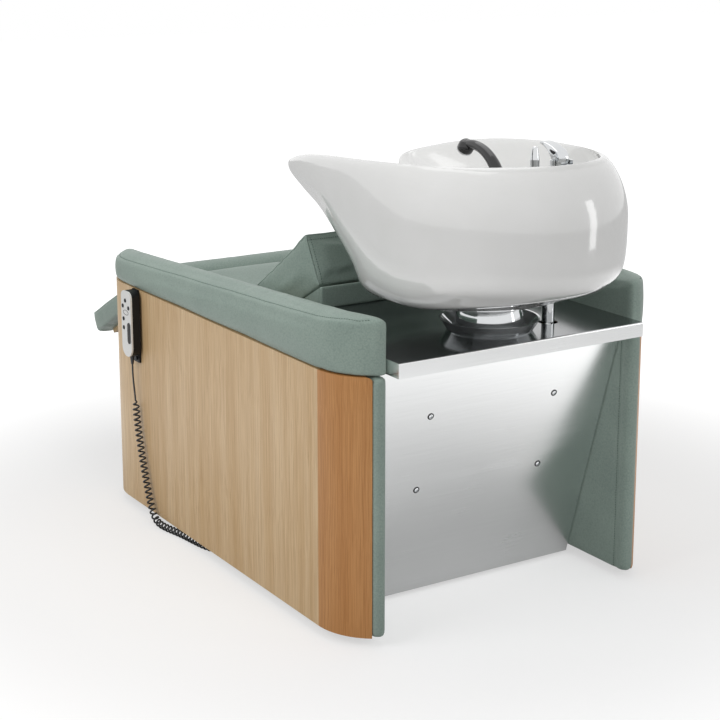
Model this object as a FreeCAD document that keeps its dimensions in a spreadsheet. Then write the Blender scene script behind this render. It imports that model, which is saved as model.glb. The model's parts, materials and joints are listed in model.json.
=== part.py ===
"""Salon backwash unit: a reclined seat with a powered leg rest, and a tilting wash basin behind it.

Millimetres. +Z is up, the client faces -Y, and +X is the client's left. The origin is on the floor,
midway between the side panels and midway along them.
"""
import FreeCAD, Part
import Sketcher
import math
import os
import re

Vector = FreeCAD.Vector

# Driving sizes: name, value, what it is.
SIZES = (
    # side panels
    ("half_width", 390, "outer face of the veneered shells from the middle"),
    ("side_length", 1140, "length of a side panel over its padded edges"),
    ("bend_radius", 132, "outer radius of the shell's curved ends"),
    ("shell_wall", 15, "bent plywood"),
    ("panel_lift", 20, "clear height under the side panels"),
    ("shell_top", 550, "top of the veneer"),
    ("shell_corner", 8, "rounding of the shell's top corners"),
    ("panel_deep", 87, "side panel from the shell's outer face to the liner's inner face"),
    ("liner_thick", 30, "padded inner board"),
    ("edge_proud", 10, "how far the padded edge passes the shell"),
    ("edge_round", 12, "rounding of the padded edge"),
    ("pad_end", 2, "arm pad short of the padded edge"),
    ("arm_rear", 660, "height of the arm pad at the rear"),
    ("arm_front", 600, "height of the arm pad at the front"),
    ("arm_crown", 9, "crown of the arm pad"),
    ("arm_overhang", 4, "how far the arm pad stands out over the shell"),
    # frame
    ("tube_side", 40, "square frame tube"),
    ("tube_wall", 2.5, "frame tube wall"),
    ("rail_low", 30, "underside of the base rails"),
    ("rail_front", 545, "front end of the base rails, forward of the middle"),
    ("rail_rear", 370, "rear end of the base rails"),
    ("upright_rear", 355, "rear face of the uprights"),
    ("shelf_rail_rear", 522, "rear end of the shelf rails"),
    ("foot_radius", 20, "levelling foot pad"),
    ("foot_thick", 9, "levelling foot pad"),
    ("stud_radius", 5, "levelling foot stud"),
    ("stud_collar", 8, "levelling foot's collar round its stud"),
    ("foot_inset", 60, "feet from the rail ends"),
    # shelf and rear cover
    ("shelf_top", 583, "working height of the shelf"),
    ("shelf_front", 142, "front edge of the shelf"),
    ("shelf_rear", 603, "rear edge of the shelf"),
    ("shelf_lip", 30, "folded lip"),
    ("sheet", 2, "stainless sheet"),
    ("side_gap", 1, "shelf and cover to the liners"),
    ("cover_top_y", 534.4, "slanted cover, top edge"),
    ("cover_top_z", 552, "slanted cover, top edge"),
    ("cover_foot_y", 377, "slanted cover, bottom edge"),
    ("cover_foot_z", 8, "slanted cover, bottom edge"),
    ("screw_x", 156, "cover screws from the middle"),
    ("screw_low", 263, "lower screws along the slope"),
    ("screw_high", 439, "upper screws along the slope"),
    ("screw_shank", 2.4, "cover screw radius"),
    ("screw_head", 5.5, "cover screw head radius"),
    ("screw_clear", 0.3, "hole over shank"),
    ("strap_width", 30, "strap behind the cover"),
    ("strap_thick", 4, "strap behind the cover"),
    # seat, backrest
    ("cheek_thick", 18, "plywood cheek"),
    ("cheek_front", 545, "front edge of the cheeks, forward of the middle"),
    ("cheek_rear", 140, "rear edge of the cheeks"),
    ("seat_front", 560, "top front edge of the seat, forward of the middle"),
    ("seat_front_z", 534, "top front edge of the seat"),
    ("seat_tilt", 8.5, "seat slope in degrees"),
    ("seat_depth", 335, "seat front to back"),
    ("seat_play", 9, "seat cushion to the liners"),
    ("seat_thick", 74, "seat cushion"),
    ("seat_crown", 12, "seat cushion crown"),
    ("board", 15, "plywood boards"),
    ("back_foot_y", -165, "underside of the backrest, bottom end"),
    ("back_foot_z", 420, "underside of the backrest, bottom end"),
    ("back_face_y", -225, "front face of the backrest, bottom end"),
    ("back_face_z", 492, "front face of the backrest, bottom end"),
    ("back_top_y", 80, "top edge of the backrest"),
    ("back_top_z", 727, "top edge of the backrest"),
    ("back_seam_y", 140, "seam across the back"),
    ("back_seam_z", 630, "seam across the back"),
    ("back_low_half", 276, "half width at the bottom end"),
    ("back_top_half", 200, "half width at the top"),
    ("back_crown", 10, "backrest crown"),
    ("back_panel", 10, "panel under the seam"),
    ("soft_gap", 0.3, "between padded pieces and what they lie on"),
    # leg rest
    ("hinge_y", -612, "leg rest hinge"),
    ("hinge_z", 500, "leg rest hinge"),
    ("leg_angle", 29, "leg rest below level in degrees"),
    ("leg_length", 372, "hinge to tip"),
    ("leg_half", 260, "half the leg rest's width"),
    ("leg_thick", 56, "leg rest pad"),
    ("leg_roll", 38, "radius of the rolled upper end"),
    ("leg_crown", 6, "leg rest crown"),
    ("leg_tip_thin", 0.35, "how much the pad thins at its tip, as a share"),
    ("leg_board_from", 91.2, "leg rest board from the hinge"),
    ("arm_shoulder", 73, "shoulder of a leg rest arm from the hinge"),
    ("arm_strip", 14, "depth of a leg rest arm"),
    ("hub_flare", 0.95, "plates' width at the hub, as a share of the hub"),
    ("hinge_radius", 11, "hinge tube"),
    ("hinge_bore", 8.5, "hinge tube bore"),
    ("bush_radius", 16, "hinge bush"),
    ("run_fit", 0.05, "running fit, radial"),
    ("nose_radius", 30, "cheek round the hinge"),
    ("crank_thick", 6, "crank plate"),
    ("crank_gap", 15, "inner face of the crank plates from the middle"),
    ("eye_clear", 2, "rod eye to the crank plates"),
    ("crank_lead", 8, "crank past square to the rod at rest in degrees"),
    ("hub_radius", 18, "plates round the hinge tube"),
    ("plate_clear", 1.5, "padding to the plates that pass through it"),
    ("arm_x", 170, "leg rest arms from the middle"),
    ("rod_slope", 20, "actuator below level in degrees"),
    ("rod_drop", 80, "actuator rod from the hinge"),
    ("rod_radius", 8, "actuator rod"),
    ("rod_pin", 6, "cross pin radius"),
    ("pin_half", 24, "half the cross pin's length"),
    ("slot_play", 4.2, "slot over the cross pin, each side"),
    ("slot_in", 70, "slot from the hinge, near end"),
    ("slot_out", 113, "slot from the hinge, far end"),
    ("crank_rim", 6, "plate round the slot"),
    ("rod_long", 260, "actuator rod"),
    ("rod_fit", 0.08, "rod in the actuator, radial"),
    ("nose_long", 12, "tapered nose of the actuator"),
    ("nose_wall", 5, "tapered nose of the actuator"),
    ("actuator_radius", 20, "actuator tube"),
    ("actuator_start", 140, "cross pin to the actuator tube at rest"),
    ("actuator_long", 240, "actuator tube"),
    ("motor_long", 70, "actuator motor"),
    ("motor_radius", 24, "actuator motor"),
    ("hanger_start", 190, "hanger bracket, from the cross pin"),
    ("hanger_long", 60, "hanger bracket"),
    ("hanger_half", 14, "half the hanger's width"),
    # basin support
    ("basin_mid", 480, "tilt axis and drain, rearward of the middle"),
    ("tilt_height", 604, "tilt axis"),
    ("basin_foot", 638, "flat underside of the basin"),
    ("dome_radius", 70, "chrome dome round the tilt axis"),
    ("dome_wall", 3, "chrome dome"),
    ("dome_low", 600, "lower edge of the dome"),
    ("socket_foot", 86, "socket on the shelf"),
    ("socket_rim", 102, "socket rim"),
    ("socket_height", 26, "socket rim above the shelf"),
    ("socket_wall", 4, "socket"),
    ("socket_hole", 29, "way through the socket"),
    ("shelf_hole", 30, "way through the shelf"),
    ("post_x", 30, "inner face of the tilt posts from the middle"),
    ("post_thick", 10, "tilt post"),
    ("post_round", 9, "tilt post top"),
    ("pin_radius", 4, "tilt pin"),
    ("ear_gap", 3, "tilt post to bracket ear"),
    ("ear_thick", 8, "bracket ear"),
    ("bracket_plate", 4, "bracket under the basin"),
    ("bracket_radius", 56, "bracket under the basin"),
    ("sleeve_x", -138, "hose sleeve"),
    ("sleeve_y", 495, "hose sleeve"),
    ("sleeve_radius", 13.5, "hose sleeve"),
    ("sleeve_wall", 1.5, "hose sleeve"),
    ("sleeve_low", 570, "hose sleeve, lower end"),
    ("sleeve_clear", 7, "shelf hole over the sleeve"),
    # basin
    ("bowl_floor", 668, "bottom of the bowl"),
    ("deck_height", 893, "tap deck inside the bowl"),
    ("basin_square", 2.5, "squareness of the basin's plan, 2 for an oval"),
    ("rim_half", 16, "half the rim's width"),
    ("rim_fall", 10, "rim to its outer shoulder"),
    ("keel_share", 0.4, "outer wall's fullness under the horns"),
    ("cavity_half", 122, "hollow behind the bowl, half its width"),
    ("cavity_front", 664, "hollow behind the bowl"),
    ("cavity_rear", 712, "hollow behind the bowl"),
    ("cavity_low", 745, "hollow behind the bowl"),
    ("cavity_roof", 846, "hollow behind the bowl"),
    ("channel_radius", 10, "way from the hollow to the sleeve"),
    ("drain_radius", 21, "drain through the basin"),
    ("drain_wall", 3, "drain flange tube"),
    ("drain_flange", 33, "drain flange"),
    ("drain_clear", 0.4, "hole over drain"),
    ("nut_radius", 28.5, "drain nut"),
    ("nut_thick", 10, "drain nut"),
    ("tail_low", 556, "drain tail, lower end"),
    ("strainer_play", 0.4, "hair strainer in the drain"),
    ("strainer_sunk", 8, "strainer below the bowl's floor"),
    ("strainer_holes", 6, "strainer"),
    ("strainer_hole", 2.8, "strainer"),
    ("knob_radius", 4.5, "strainer knob"),
    ("knob_rise", 13, "strainer knob"),
    # taps
    ("mixer_x", -28, "mixer"),
    ("mixer_y", 660, "mixer"),
    ("mixer_radius", 22, "mixer base"),
    ("mixer_rise", 32, "mixer base"),
    ("mixer_stem", 15, "mixer through the deck"),
    ("tap_seat", 872, "flat seats for the taps"),
    ("tap_fit", 0.3, "taps in their seats"),
    ("cap_rise", 24, "mixer cap"),
    ("lever_width", 27, "mixer lever"),
    ("lever_bow", 60, "radius of the arched lever"),
    ("lever_thick", 8, "arched lever"),
    ("lever_hub", 7, "lever round its pin"),
    ("lever_pin", 3, "lever pin"),
    ("lever_play", 0.4, "lever in its slot"),
    ("lever_back", 15, "middle of the arch, forward of the pin"),
    ("lever_lift", 28, "top of the arch above the pin"),
    ("lever_from", 70, "arch, rear end in degrees"),
    ("lever_to", 125, "arch, front end in degrees"),
    ("post_tap_x", 20, "backflow preventer"),
    ("post_tap_y", 640, "backflow preventer"),
    ("post_tap_radius", 9, "backflow preventer"),
    ("post_tap_top", 977, "backflow preventer"),
    ("post_flange", 14, "backflow preventer foot"),
    ("collar_rise", 30, "backflow preventer foot"),
    ("post_nose", 26, "backflow preventer's tapered top"),
    ("post_tip", 6, "backflow preventer's rounded tip"),
    ("shower_x", 110, "hand shower"),
    ("shower_y", 655, "hand shower"),
    ("shower_lean", 15, "hand shower at its guide in degrees"),
    ("shower_bow", 95, "radius of the shower's neck"),
    ("shower_turn", 85, "turn of the shower's neck in degrees"),
    ("shower_stem", 8, "hand shower in its guide"),
    ("shower_body", 12.5, "hand shower grip"),
    ("shower_thin", 0.14, "how much the grip's ends narrow, as a share"),
    ("shower_steps", 14, "rings of the shower's grip"),
    ("guide_wall", 4, "shower guide"),
    ("guide_rise", 14, "shower guide above the deck"),
    ("guide_clear", 0.3, "shower in its guide"),
    ("hose_radius", 6, "shower hose"),
    ("hose_long", 90, "shower hose under the handle"),
    ("stem_long", 58, "shower stem"),
    ("spray_radius", 16, "spray head"),
    ("spray_deep", 15, "spray head"),
    # hand control
    ("hand_y", -367, "hand control"),
    ("hand_z", 470, "hand control, middle height"),
    ("hand_wide", 52, "hand control"),
    ("hand_tall", 156, "hand control"),
    ("hand_top_round", 15, "upper corners"),
    ("hand_low_round", 24, "lower corners"),
    ("cradle_thick", 5, "wall cradle"),
    ("cradle_wide", 30, "wall cradle"),
    ("cradle_tall", 174, "wall cradle"),
    ("cradle_screw", 4.5, "cradle screw heads"),
    ("screw_proud", 2.5, "cradle screw heads"),
    ("hand_back", 19, "back shell"),
    ("hand_front", 4, "front shell"),
    ("hand_gap", 0.4, "hand control to its cradle"),
    ("button_rise", 1.2, "button above the face"),
    ("button_clear", 0.35, "button in its hole"),
    ("button_deep", 4, "button below the face"),
    ("button_radius", 4.6, "button"),
    ("button_well", 2, "room under a button"),
    ("rocker_half", 25, "half the rocker's length"),
    ("rocker_round", 7.5, "rocker end radius"),
    ("rocker_y", 14.1, "rocker, rearward of the middle"),
    ("rocker_z", -20, "rocker, from the middle"),
    ("relief_y", -3, "strain relief"),
    ("relief_long", 21, "strain relief"),
    ("relief_low", 3.2, "strain relief, lower end"),
    ("relief_high", 5.5, "strain relief, upper end"),
    # control box and cord
    ("box_x", 60, "control box, inner side"),
    ("box_wide", 130, "control box, across"),
    ("box_deep", 95, "control box, front to back"),
    ("box_low", 30, "control box, underside"),
    ("box_tall", 48, "control box"),
    ("box_round", 5, "control box edges"),
    ("gland_y", -62, "cord gland"),
    ("gland_z", 38, "cord gland"),
    ("gland_long", 16, "cord gland"),
    ("gland_radius", 6, "cord gland"),
    ("wire_radius", 2.1, "cord"),
    ("curl_radius", 6.9, "curls, middle of the wire"),
    ("curl_count", 44, "curls"),
    ("curl_sides", 5, "flats of the curled wire"),
    ("curl_ramp", 1.5, "curls from the plain lead to the full radius"),
    ("lead_steps", 8, "stretches of each plain lead"),
    ("way_step", 0.02, "half the step over which the wire's direction is taken"),
)

NAMES = {name for name, _, _ in SIZES}

# Sizes that follow from the driving ones.
FOLLOWING = {
    "liner_face": "(half_width - panel_deep)",
    "seat_half": "(half_width - panel_deep - seat_play)",
    "strainer_radius": "(drain_radius - drain_wall - strainer_play)",
}

doc =FreeCAD.newDocument("BackwashUnit")
sheet = doc.addObject("Spreadsheet::Sheet", "Dims")
for row, (name, number, note) in enumerate(SIZES, 1):
    sheet.set(f"A{row}", name)
    sheet.set(f"B{row}", str(number))
    sheet.set(f"C{row}", note)
    sheet.setAlias(f"B{row}", name)
doc.recompute()

finished = []


def formula(text):
    """Writes an expression out in the sheet's cells."""
    def cell(word):
        name = word[0]
        if name in FOLLOWING:
            return formula(FOLLOWING[name])
        return "Dims." + name if name in NAMES else name

    return re.sub(r"[a-z_]+", cell, text)


def value(text):
    """The number that an expression of the sheet's sizes gives."""
    return float(sheet.evalExpression(formula(text)))


def bind(thing, **expressions):
    for name, text in expressions.items():
        thing.setExpression(name.replace("__", "."), formula(text))
    return thing


def place(thing, x="0", y="0", z="0"):
    return bind(thing, Placement__Base__x=x, Placement__Base__y=y, Placement__Base__z=z)


def done(thing, label):
    """Names a finished sub-part, which is written to a file of its own."""
    thing.Label = label
    finished.append(thing)
    return thing


def box(length, width, height, x, y, z):
    thing = doc.addObject("Part::Box", "Block")
    return place(bind(thing, Length=length, Width=width, Height=height), x, y, z)


AXES = {
    "x": FreeCAD.Rotation(Vector(0, 1, 0), 90),
    "y": FreeCAD.Rotation(Vector(1, 0, 0), -90),
    "z": FreeCAD.Rotation(),
}


def bar(radius, height, x, y, z, axis="z"):
    thing = doc.addObject("Part::Cylinder", "Bar")
    thing.Placement = FreeCAD.Placement(Vector(), AXES[axis])
    return place(bind(thing, Radius=radius, Height=height), x, y, z)


def cut(base, *tools):
    for tool in tools:
        thing = doc.addObject("Part::Cut", "Cut")
        thing.Base = base
        thing.Tool = tool
        base = thing
    return base


def fuse(*pieces):
    thing = doc.addObject("Part::MultiFuse", "Fuse")
    thing.Shapes = list(pieces)
    thing.Refine = True
    return thing


def twin(source):
    """The same piece on the other side of the middle."""
    thing = doc.addObject("Part::Mirroring", "Twin")
    thing.Source = source
    thing.Base = Vector(0, 0, 0)
    thing.Normal = Vector(1, 0, 0)
    return thing


def group(*pieces):
    thing = doc.addObject("Part::Compound", "Group")
    thing.Links = list(pieces)
    return thing


def feature(shape):
    thing = doc.addObject("Part::Feature", "Form")
    thing.Shape = shape
    thing.Placement = shape.Placement
    return thing


def new_body():
    return doc.addObject("PartDesign::Body", "Body")


def outline(body, role, corners, arcs=None):
    """A closed sketch. Each corner is pinned by two expressions. arcs gives, for the side that starts
    at a corner, its radius and the way it turns: 1 to the left, -1 to the right."""
    arcs = arcs or {}
    sketch = body.newObject("Sketcher::SketchObject", "Outline")
    plane = next(item for item in body.Origin.OriginFeatures if item.Role == role)
    sketch.AttachmentSupport = (plane, [""])
    sketch.MapMode = "FlatFace"
    points = [Vector(value(x), value(y), 0) for x, y in corners]
    count = len(points)
    ends = []
    for index, start in enumerate(points):
        end = points[(index + 1) % count]
        if index not in arcs:
            sketch.addGeometry(Part.LineSegment(start, end))
            ends.append((1, 2))
            continue
        radius, turn = value(arcs[index][0]), arcs[index][1]
        run = end - start
        left = Vector(-run.y, run.x, 0).normalize()
        middle = (start + end) * 0.5 + left * (turn * math.sqrt(max(radius ** 2 - run.Length ** 2 / 4, 0)))
        first, last = (start, end) if turn > 0 else (end, start)
        angles = [math.atan2(p.y - middle.y, p.x - middle.x) for p in (first, last)]
        if angles[1] < angles[0]:
            angles[1] += 2 * math.pi
        sketch.addGeometry(Part.ArcOfCircle(Part.Circle(middle, Vector(0, 0, 1), radius), *angles))
        ends.append((1, 2) if turn > 0 else (2, 1))
    for index in range(count):
        after = (index + 1) % count
        sketch.addConstraint(Sketcher.Constraint("Coincident", index, ends[index][1], after, ends[after][0]))
    for index, (x, y) in enumerate(corners):
        for kind, text, letter in (("DistanceX", x, "x"), ("DistanceY", y, "y")):
            rule = Sketcher.Constraint(kind, -1, 1, index, ends[index][0], value(text))
            label = f"{letter}_{index}"
            sketch.renameConstraint(sketch.addConstraint(rule), label)
            sketch.setExpression(f"Constraints.{label}", formula(text))
    for index, (radius, _) in arcs.items():
        label = f"radius_{index}"
        rule = Sketcher.Constraint("Radius", index, value(radius))
        sketch.renameConstraint(sketch.addConstraint(rule), label)
        sketch.setExpression(f"Constraints.{label}", formula(radius))
    return sketch


def pad(body, sketch, length, symmetric=False, back=False):
    thing = body.newObject("PartDesign::Pad", "Pad")
    thing.Profile = sketch
    if symmetric:
        thing.SideType = "Symmetric"
    thing.Reversed = back
    bind(thing, Length=length)
    return thing


def prism(role, corners, length, arcs=None, symmetric=False, back=False, x="0", y="0", z="0"):
    """A body that is one outline, padded."""
    body = new_body()
    pad(body, outline(body, role, corners, arcs), length, symmetric, back)
    return place(body, x, y, z)


def turned(corners, x, y, z, arcs=None):
    """A body turned about its own upright axis, from radius and height corners."""
    body = new_body()
    sketch = outline(body, "XZ_Plane", corners, arcs)
    thing = body.newObject("PartDesign::Revolution", "Revolution")
    thing.Profile = sketch
    thing.ReferenceAxis = (sketch, ["V_Axis"])
    thing.Angle = 360
    return place(body, x, y, z)


def rounded(body, radius, wanted):
    """Rounds the edges of a body that a test of their middle point picks."""
    doc.recompute()
    base = body.Tip
    names = []
    for number, edge in enumerate(base.Shape.Edges, 1):
        middle = edge.valueAt((edge.FirstParameter + edge.LastParameter) / 2)
        if wanted(edge, middle):
            names.append(f"Edge{number}")
    thing = body.newObject("PartDesign::Fillet", "Fillet")
    thing.Base = (base, names)
    bind(thing, Radius=radius)
    return body


def tube(length, x, y, z, axis):
    """An open square frame tube that runs along x, y or z."""
    outer = {"x": (length, "tube_side", "tube_side"), "y": ("tube_side", length, "tube_side"),
             "z": ("tube_side", "tube_side", length)}[axis]
    bore = "tube_side - 2 * tube_wall"
    inner = {"x": (length, bore, bore), "y": (bore, length, bore), "z": (bore, bore, length)}[axis]
    shift = [f"{start}" if way == axis else f"{start} + tube_wall" for way, start in zip("xyz", (x, y, z))]
    return cut(box(*outer, x, y, z), box(*inner, *shift))


# Places that several pieces share.
LINER_OUT = "(liner_face + liner_thick)"
SHELL_END = "(side_length / 2 - edge_proud)"
BEND_LEFT = f"(bend_radius - half_width + {LINER_OUT})"
STRAIGHT = f"({SHELL_END} - sqrt(bend_radius ^ 2 - {BEND_LEFT} ^ 2))"
INNER_END = f"({STRAIGHT} + sqrt((bend_radius - shell_wall) ^ 2 - {BEND_LEFT} ^ 2))"
RAIL_IN = "(liner_face - tube_side)"
RAIL_TOP = "(rail_low + tube_side)"
SHELF_LOW = "(shelf_top - sheet)"
SHELF_RAIL_LOW = f"({SHELF_LOW} - tube_side)"
SHELF_HALF = "(liner_face - side_gap)"
SHELF_RAIL_IN = f"({SHELF_HALF} - sheet - tube_side)"
COVER_RUN = "(cover_top_y - cover_foot_y)"
COVER_RISE = "(cover_top_z - cover_foot_z)"
COVER_LONG = f"sqrt({COVER_RUN} ^ 2 + {COVER_RISE} ^ 2)"
COVER_LEAN = f"atan({COVER_RUN} / {COVER_RISE})"


def make_side_panels():
    shell = new_body()
    corners = [("half_width", f"-{STRAIGHT}"), ("half_width", STRAIGHT), (LINER_OUT, SHELL_END),
               (LINER_OUT, INNER_END), ("half_width - shell_wall", STRAIGHT),
               ("half_width - shell_wall", f"-{STRAIGHT}"), (LINER_OUT, f"-{INNER_END}"),
               (LINER_OUT, f"-{SHELL_END}")]
    thin = "bend_radius - shell_wall"
    arcs = {1: ("bend_radius", 1), 3: (thin, -1), 5: (thin, -1), 7: ("bend_radius", 1)}
    pad(shell, outline(shell, "XY_Plane", corners, arcs), "shell_top - panel_lift")
    top = value("shell_top - panel_lift")
    end = value(SHELL_END)
    inner = value(INNER_END)

    def top_corner(edge, middle):
        across = edge.BoundBox.XLength < 0.01 and edge.BoundBox.ZLength < 0.01
        return across and middle.z > top - 1 and inner < abs(middle.y) < end

    rounded(shell, "shell_corner", top_corner)
    place(shell, z="panel_lift")
    done(shell, "left_side_shell")
    done(twin(shell), "right_side_shell")

    end = "side_length / 2"
    near, far = "liner_face", LINER_OUT
    corners = [(f"{far}", f"-{end} + edge_round"), (f"{far}", f"{end} - edge_round"),
               (f"{far} - edge_round", end), (f"{near} + edge_round", end), (near, f"{end} - edge_round"),
               (near, f"-{end} + edge_round"), (f"{near} + edge_round", f"-{end}"),
               (f"{far} - edge_round", f"-{end}")]
    arcs = {1: ("edge_round", 1), 3: ("edge_round", 1), 5: ("edge_round", 1), 7: ("edge_round", 1)}
    liner = prism("XY_Plane", corners, "shell_top - panel_lift", arcs, z="panel_lift")
    done(liner, "left_liner")
    done(twin(liner), "right_liner")


def make_arm_pads():
    """Each pad is a wedge along the panel: it follows the shell's bends, with a crowned top."""
    straight, radius = value(STRAIGHT), value("bend_radius")
    half, low = value("side_length / 2"), value("shell_top + soft_gap")
    inner, over = value("liner_face + soft_gap"), value("arm_overhang")
    front, rear, crown = value("arm_front"), value("arm_rear"), value("arm_crown")
    tuck, bulge = 2 * over, over

    def section(y):
        bend = max(abs(y) - straight, 0)
        outer = value("half_width") - radius + math.sqrt(radius ** 2 - bend ** 2) + over
        drop = max(abs(y) - (half - 3 * tuck), 0) ** 2 / (6 * tuck)
        top = front + (rear - front) * (y + half) / (2 * half) - drop
        side = (low + top) / 2
        foot = Vector(outer - bulge, y, low)
        edge = Vector(outer - bulge, y, top)
        crest = Vector(inner, y, top)
        return Part.Wire([
            Part.LineSegment(Vector(inner, y, low), foot).toShape(),
            Part.Arc(foot, Vector(outer, y, side), edge).toShape(),
            Part.Arc(edge, Vector((inner + outer) / 2, y, top + crown), crest).toShape(),
            Part.LineSegment(crest, Vector(inner, y, low)).toShape(),
        ])

    bend_end = half - value("edge_proud")
    stops = [0, straight / 2, straight, straight + 0.4 * (bend_end - straight),
             straight + 0.75 * (bend_end - straight), bend_end, half - value("pad_end")]
    stations = sorted({s for stop in stops for s in (stop, -stop)})
    pad_shape = Part.makeLoft([section(y) for y in stations], True, False)
    left = done(feature(pad_shape), "left_arm_pad")
    done(twin(left), "right_arm_pad")


def make_frame():
    rail_length = "rail_front + rail_rear"
    rail = tube(rail_length, RAIL_IN, "-rail_front", "rail_low", "y")
    done(group(rail, twin(rail)), "base_rails")

    upright = tube(f"{SHELF_RAIL_LOW} - {RAIL_TOP}", RAIL_IN, "upright_rear - tube_side", RAIL_TOP, "z")
    shelf_rail = tube("shelf_rail_rear - shelf_front - strap_width", SHELF_RAIL_IN,
                      "shelf_front + strap_width", SHELF_RAIL_LOW, "y")
    done(group(upright, twin(upright), shelf_rail, twin(shelf_rail)), "rear_frame")

    low_ties = [tube(f"2 * {RAIL_IN}", f"-{RAIL_IN}", y, "rail_low", "x")
                for y in ("-rail_front + 2 * tube_side", "-tube_side / 2", "rail_rear - tube_side")]
    shelf_tie = tube(f"2 * {SHELF_RAIL_IN}", f"-{SHELF_RAIL_IN}", "upright_rear - tube_side",
                     SHELF_RAIL_LOW, "x")
    done(group(*low_ties, shelf_tie), "cross_tubes")

    feet = []
    for y in ("-rail_front + foot_inset", "rail_rear - foot_inset"):
        corners = [("0", "0"), ("foot_radius", "0"), ("foot_radius", "foot_thick / 2"),
                   ("stud_collar", "foot_thick"), ("stud_radius", "foot_thick"),
                   ("stud_radius", "rail_low"), ("0", "rail_low")]
        foot = turned(corners, f"{RAIL_IN} + tube_side / 2", y, "0")
        feet += [foot, twin(foot)]
    done(group(*feet), "levelling_feet")


def make_shelf():
    body = new_body()
    corners = [(f"-{SHELF_HALF}", "shelf_front"), (SHELF_HALF, "shelf_front"),
               (SHELF_HALF, "shelf_rear"), (f"-{SHELF_HALF}", "shelf_rear")]
    pad(body, outline(body, "XY_Plane", corners), "shelf_lip")
    rear = value("shelf_rear")
    rounded(body, "sheet * 1.5", lambda edge, middle: middle.y > rear - 1 and edge.BoundBox.ZLength < 0.1
            and middle.z > 1)
    inner = f"({SHELF_HALF} - sheet)"
    corners = [(f"-{inner}", "shelf_front - side_gap"), (inner, "shelf_front - side_gap"),
               (inner, "shelf_rear - sheet"), (f"-{inner}", "shelf_rear - sheet")]
    hollow = body.newObject("PartDesign::Pocket", "Hollow")
    hollow.Profile = outline(body, "XY_Plane", corners)
    hollow.Reversed = True
    bind(hollow, Length="shelf_lip - sheet")
    place(body, z="shelf_top - shelf_lip")
    drain_way = bar("shelf_hole", "2 * shelf_lip", "0", "basin_mid", "shelf_top - shelf_lip")
    hose_way = bar("sleeve_radius + sleeve_clear", "2 * shelf_lip", "sleeve_x", "sleeve_y",
                   "shelf_top - shelf_lip")
    done(cut(body, drain_way, hose_way), "shelf")


def on_cover(along, out):
    """The height and depth of a place along the slanted cover, out from its outer face."""
    lean = math.radians(value(COVER_LEAN))
    y = value("cover_foot_y") + along * math.sin(lean) + out * math.cos(lean)
    z = value("cover_foot_z") + along * math.cos(lean) - out * math.sin(lean)
    return y, z


def make_rear_cover():
    body = new_body()
    corners = [(f"-{SHELF_HALF}", "0"), (SHELF_HALF, "0"), (SHELF_HALF, COVER_LONG),
               (f"-{SHELF_HALF}", COVER_LONG)]
    pad(body, outline(body, "XZ_Plane", corners), "sheet")
    place(body, y="cover_foot_y", z="cover_foot_z")
    body.Placement.Rotation = FreeCAD.Rotation(Vector(-1, 0, 0), value(COVER_LEAN))
    bind(body, Placement__Rotation__Angle=COVER_LEAN)
    lean = math.radians(value(COVER_LEAN))
    inward = Vector(0, -math.cos(lean), math.sin(lean))
    holes, screws, seats = [], [], []
    head, shank, clear = value("screw_head"), value("screw_shank"), value("screw_clear")
    grip = value("sheet + strap_thick")
    for side in (-1, 1):
        for along in ("screw_low", "screw_high"):
            seat = Vector(side * value("screw_x"), *on_cover(value(along), 0))
            holes.append(Part.makeCylinder(shank + clear, 6 * grip, seat - inward * 2 * grip, inward))
            seats.append(Part.makeCylinder(shank, 6 * grip, seat - inward * 2 * grip, inward))
            cap = Part.makeSphere(head * 1.25, seat + inward * head * 0.75)
            slab = Part.makeCylinder(head, head, seat - inward * head, inward)
            stem = Part.makeCylinder(shank, grip, seat, inward)
            screws.append(cap.common(slab).fuse(stem).removeSplitter())
    done(cut(body, feature(Part.makeCompound(holes))), "rear_cover")
    done(feature(Part.makeCompound(screws)), "cover_screws")

    # Each strap lies against the cover, with a foot on the rear cross tube and a flange under the shelf.
    slope = f"({COVER_RUN} / {COVER_RISE})"
    skin = f"(sheet * {COVER_LONG} / {COVER_RISE})"
    leaf = f"(strap_thick * {COVER_LONG} / {COVER_RISE})"

    def face(z, depth):
        return f"cover_foot_y + ({z} - cover_foot_z) * {slope} - {skin} - {depth}"

    low, high = f"({RAIL_TOP} - strap_thick)", "(cover_top_z - strap_thick)"
    low_foot, flange = f"({low} - 2 * strap_thick)", f"({SHELF_LOW} - strap_thick)"
    top = face(high, "0")
    corners = [(face(low_foot, "0"), low_foot), (top, high), (top, SHELF_LOW),
               (f"{top} - 3 * strap_thick", SHELF_LOW), (f"{top} - 3 * strap_thick", flange),
               (f"{top} - {leaf}", flange), (f"{top} - {leaf}", high),
               (face(low, leaf), low), ("rail_rear", low), ("rail_rear", low_foot)]
    strap = prism("YZ_Plane", corners, "strap_width", symmetric=True, x="screw_x")
    drilled = cut(strap, feature(Part.makeCompound(seats)))
    done(group(drilled, twin(drilled)), "cover_straps")


SEAT_COS, SEAT_SIN = "cos(seat_tilt)", "sin(seat_tilt)"
SEAT_DEEP = "(seat_thick + board)"


def under_seat(along):
    """The underside of the seat board, at a distance back from the seat's front edge."""
    y = f"(-seat_front + {along} * {SEAT_COS} - {SEAT_DEEP} * {SEAT_SIN})"
    z = f"(seat_front_z - {along} * {SEAT_SIN} - {SEAT_DEEP} * {SEAT_COS})"
    return y, z


BACK_RUN, BACK_RISE = "(back_seam_y - back_foot_y)", "(shelf_top - back_foot_z)"
BACK_SLOPE = f"atan({BACK_RISE} / {BACK_RUN})"


def under_back(share, depth):
    """The underside of the backrest between its bottom end, 0, and the shelf, 1, less a depth."""
    y = f"(back_foot_y + {share} * {BACK_RUN} + {depth} * sin({BACK_SLOPE}))"
    z = f"(back_foot_z + {share} * {BACK_RISE} - {depth} * cos({BACK_SLOPE}))"
    return y, z


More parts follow.
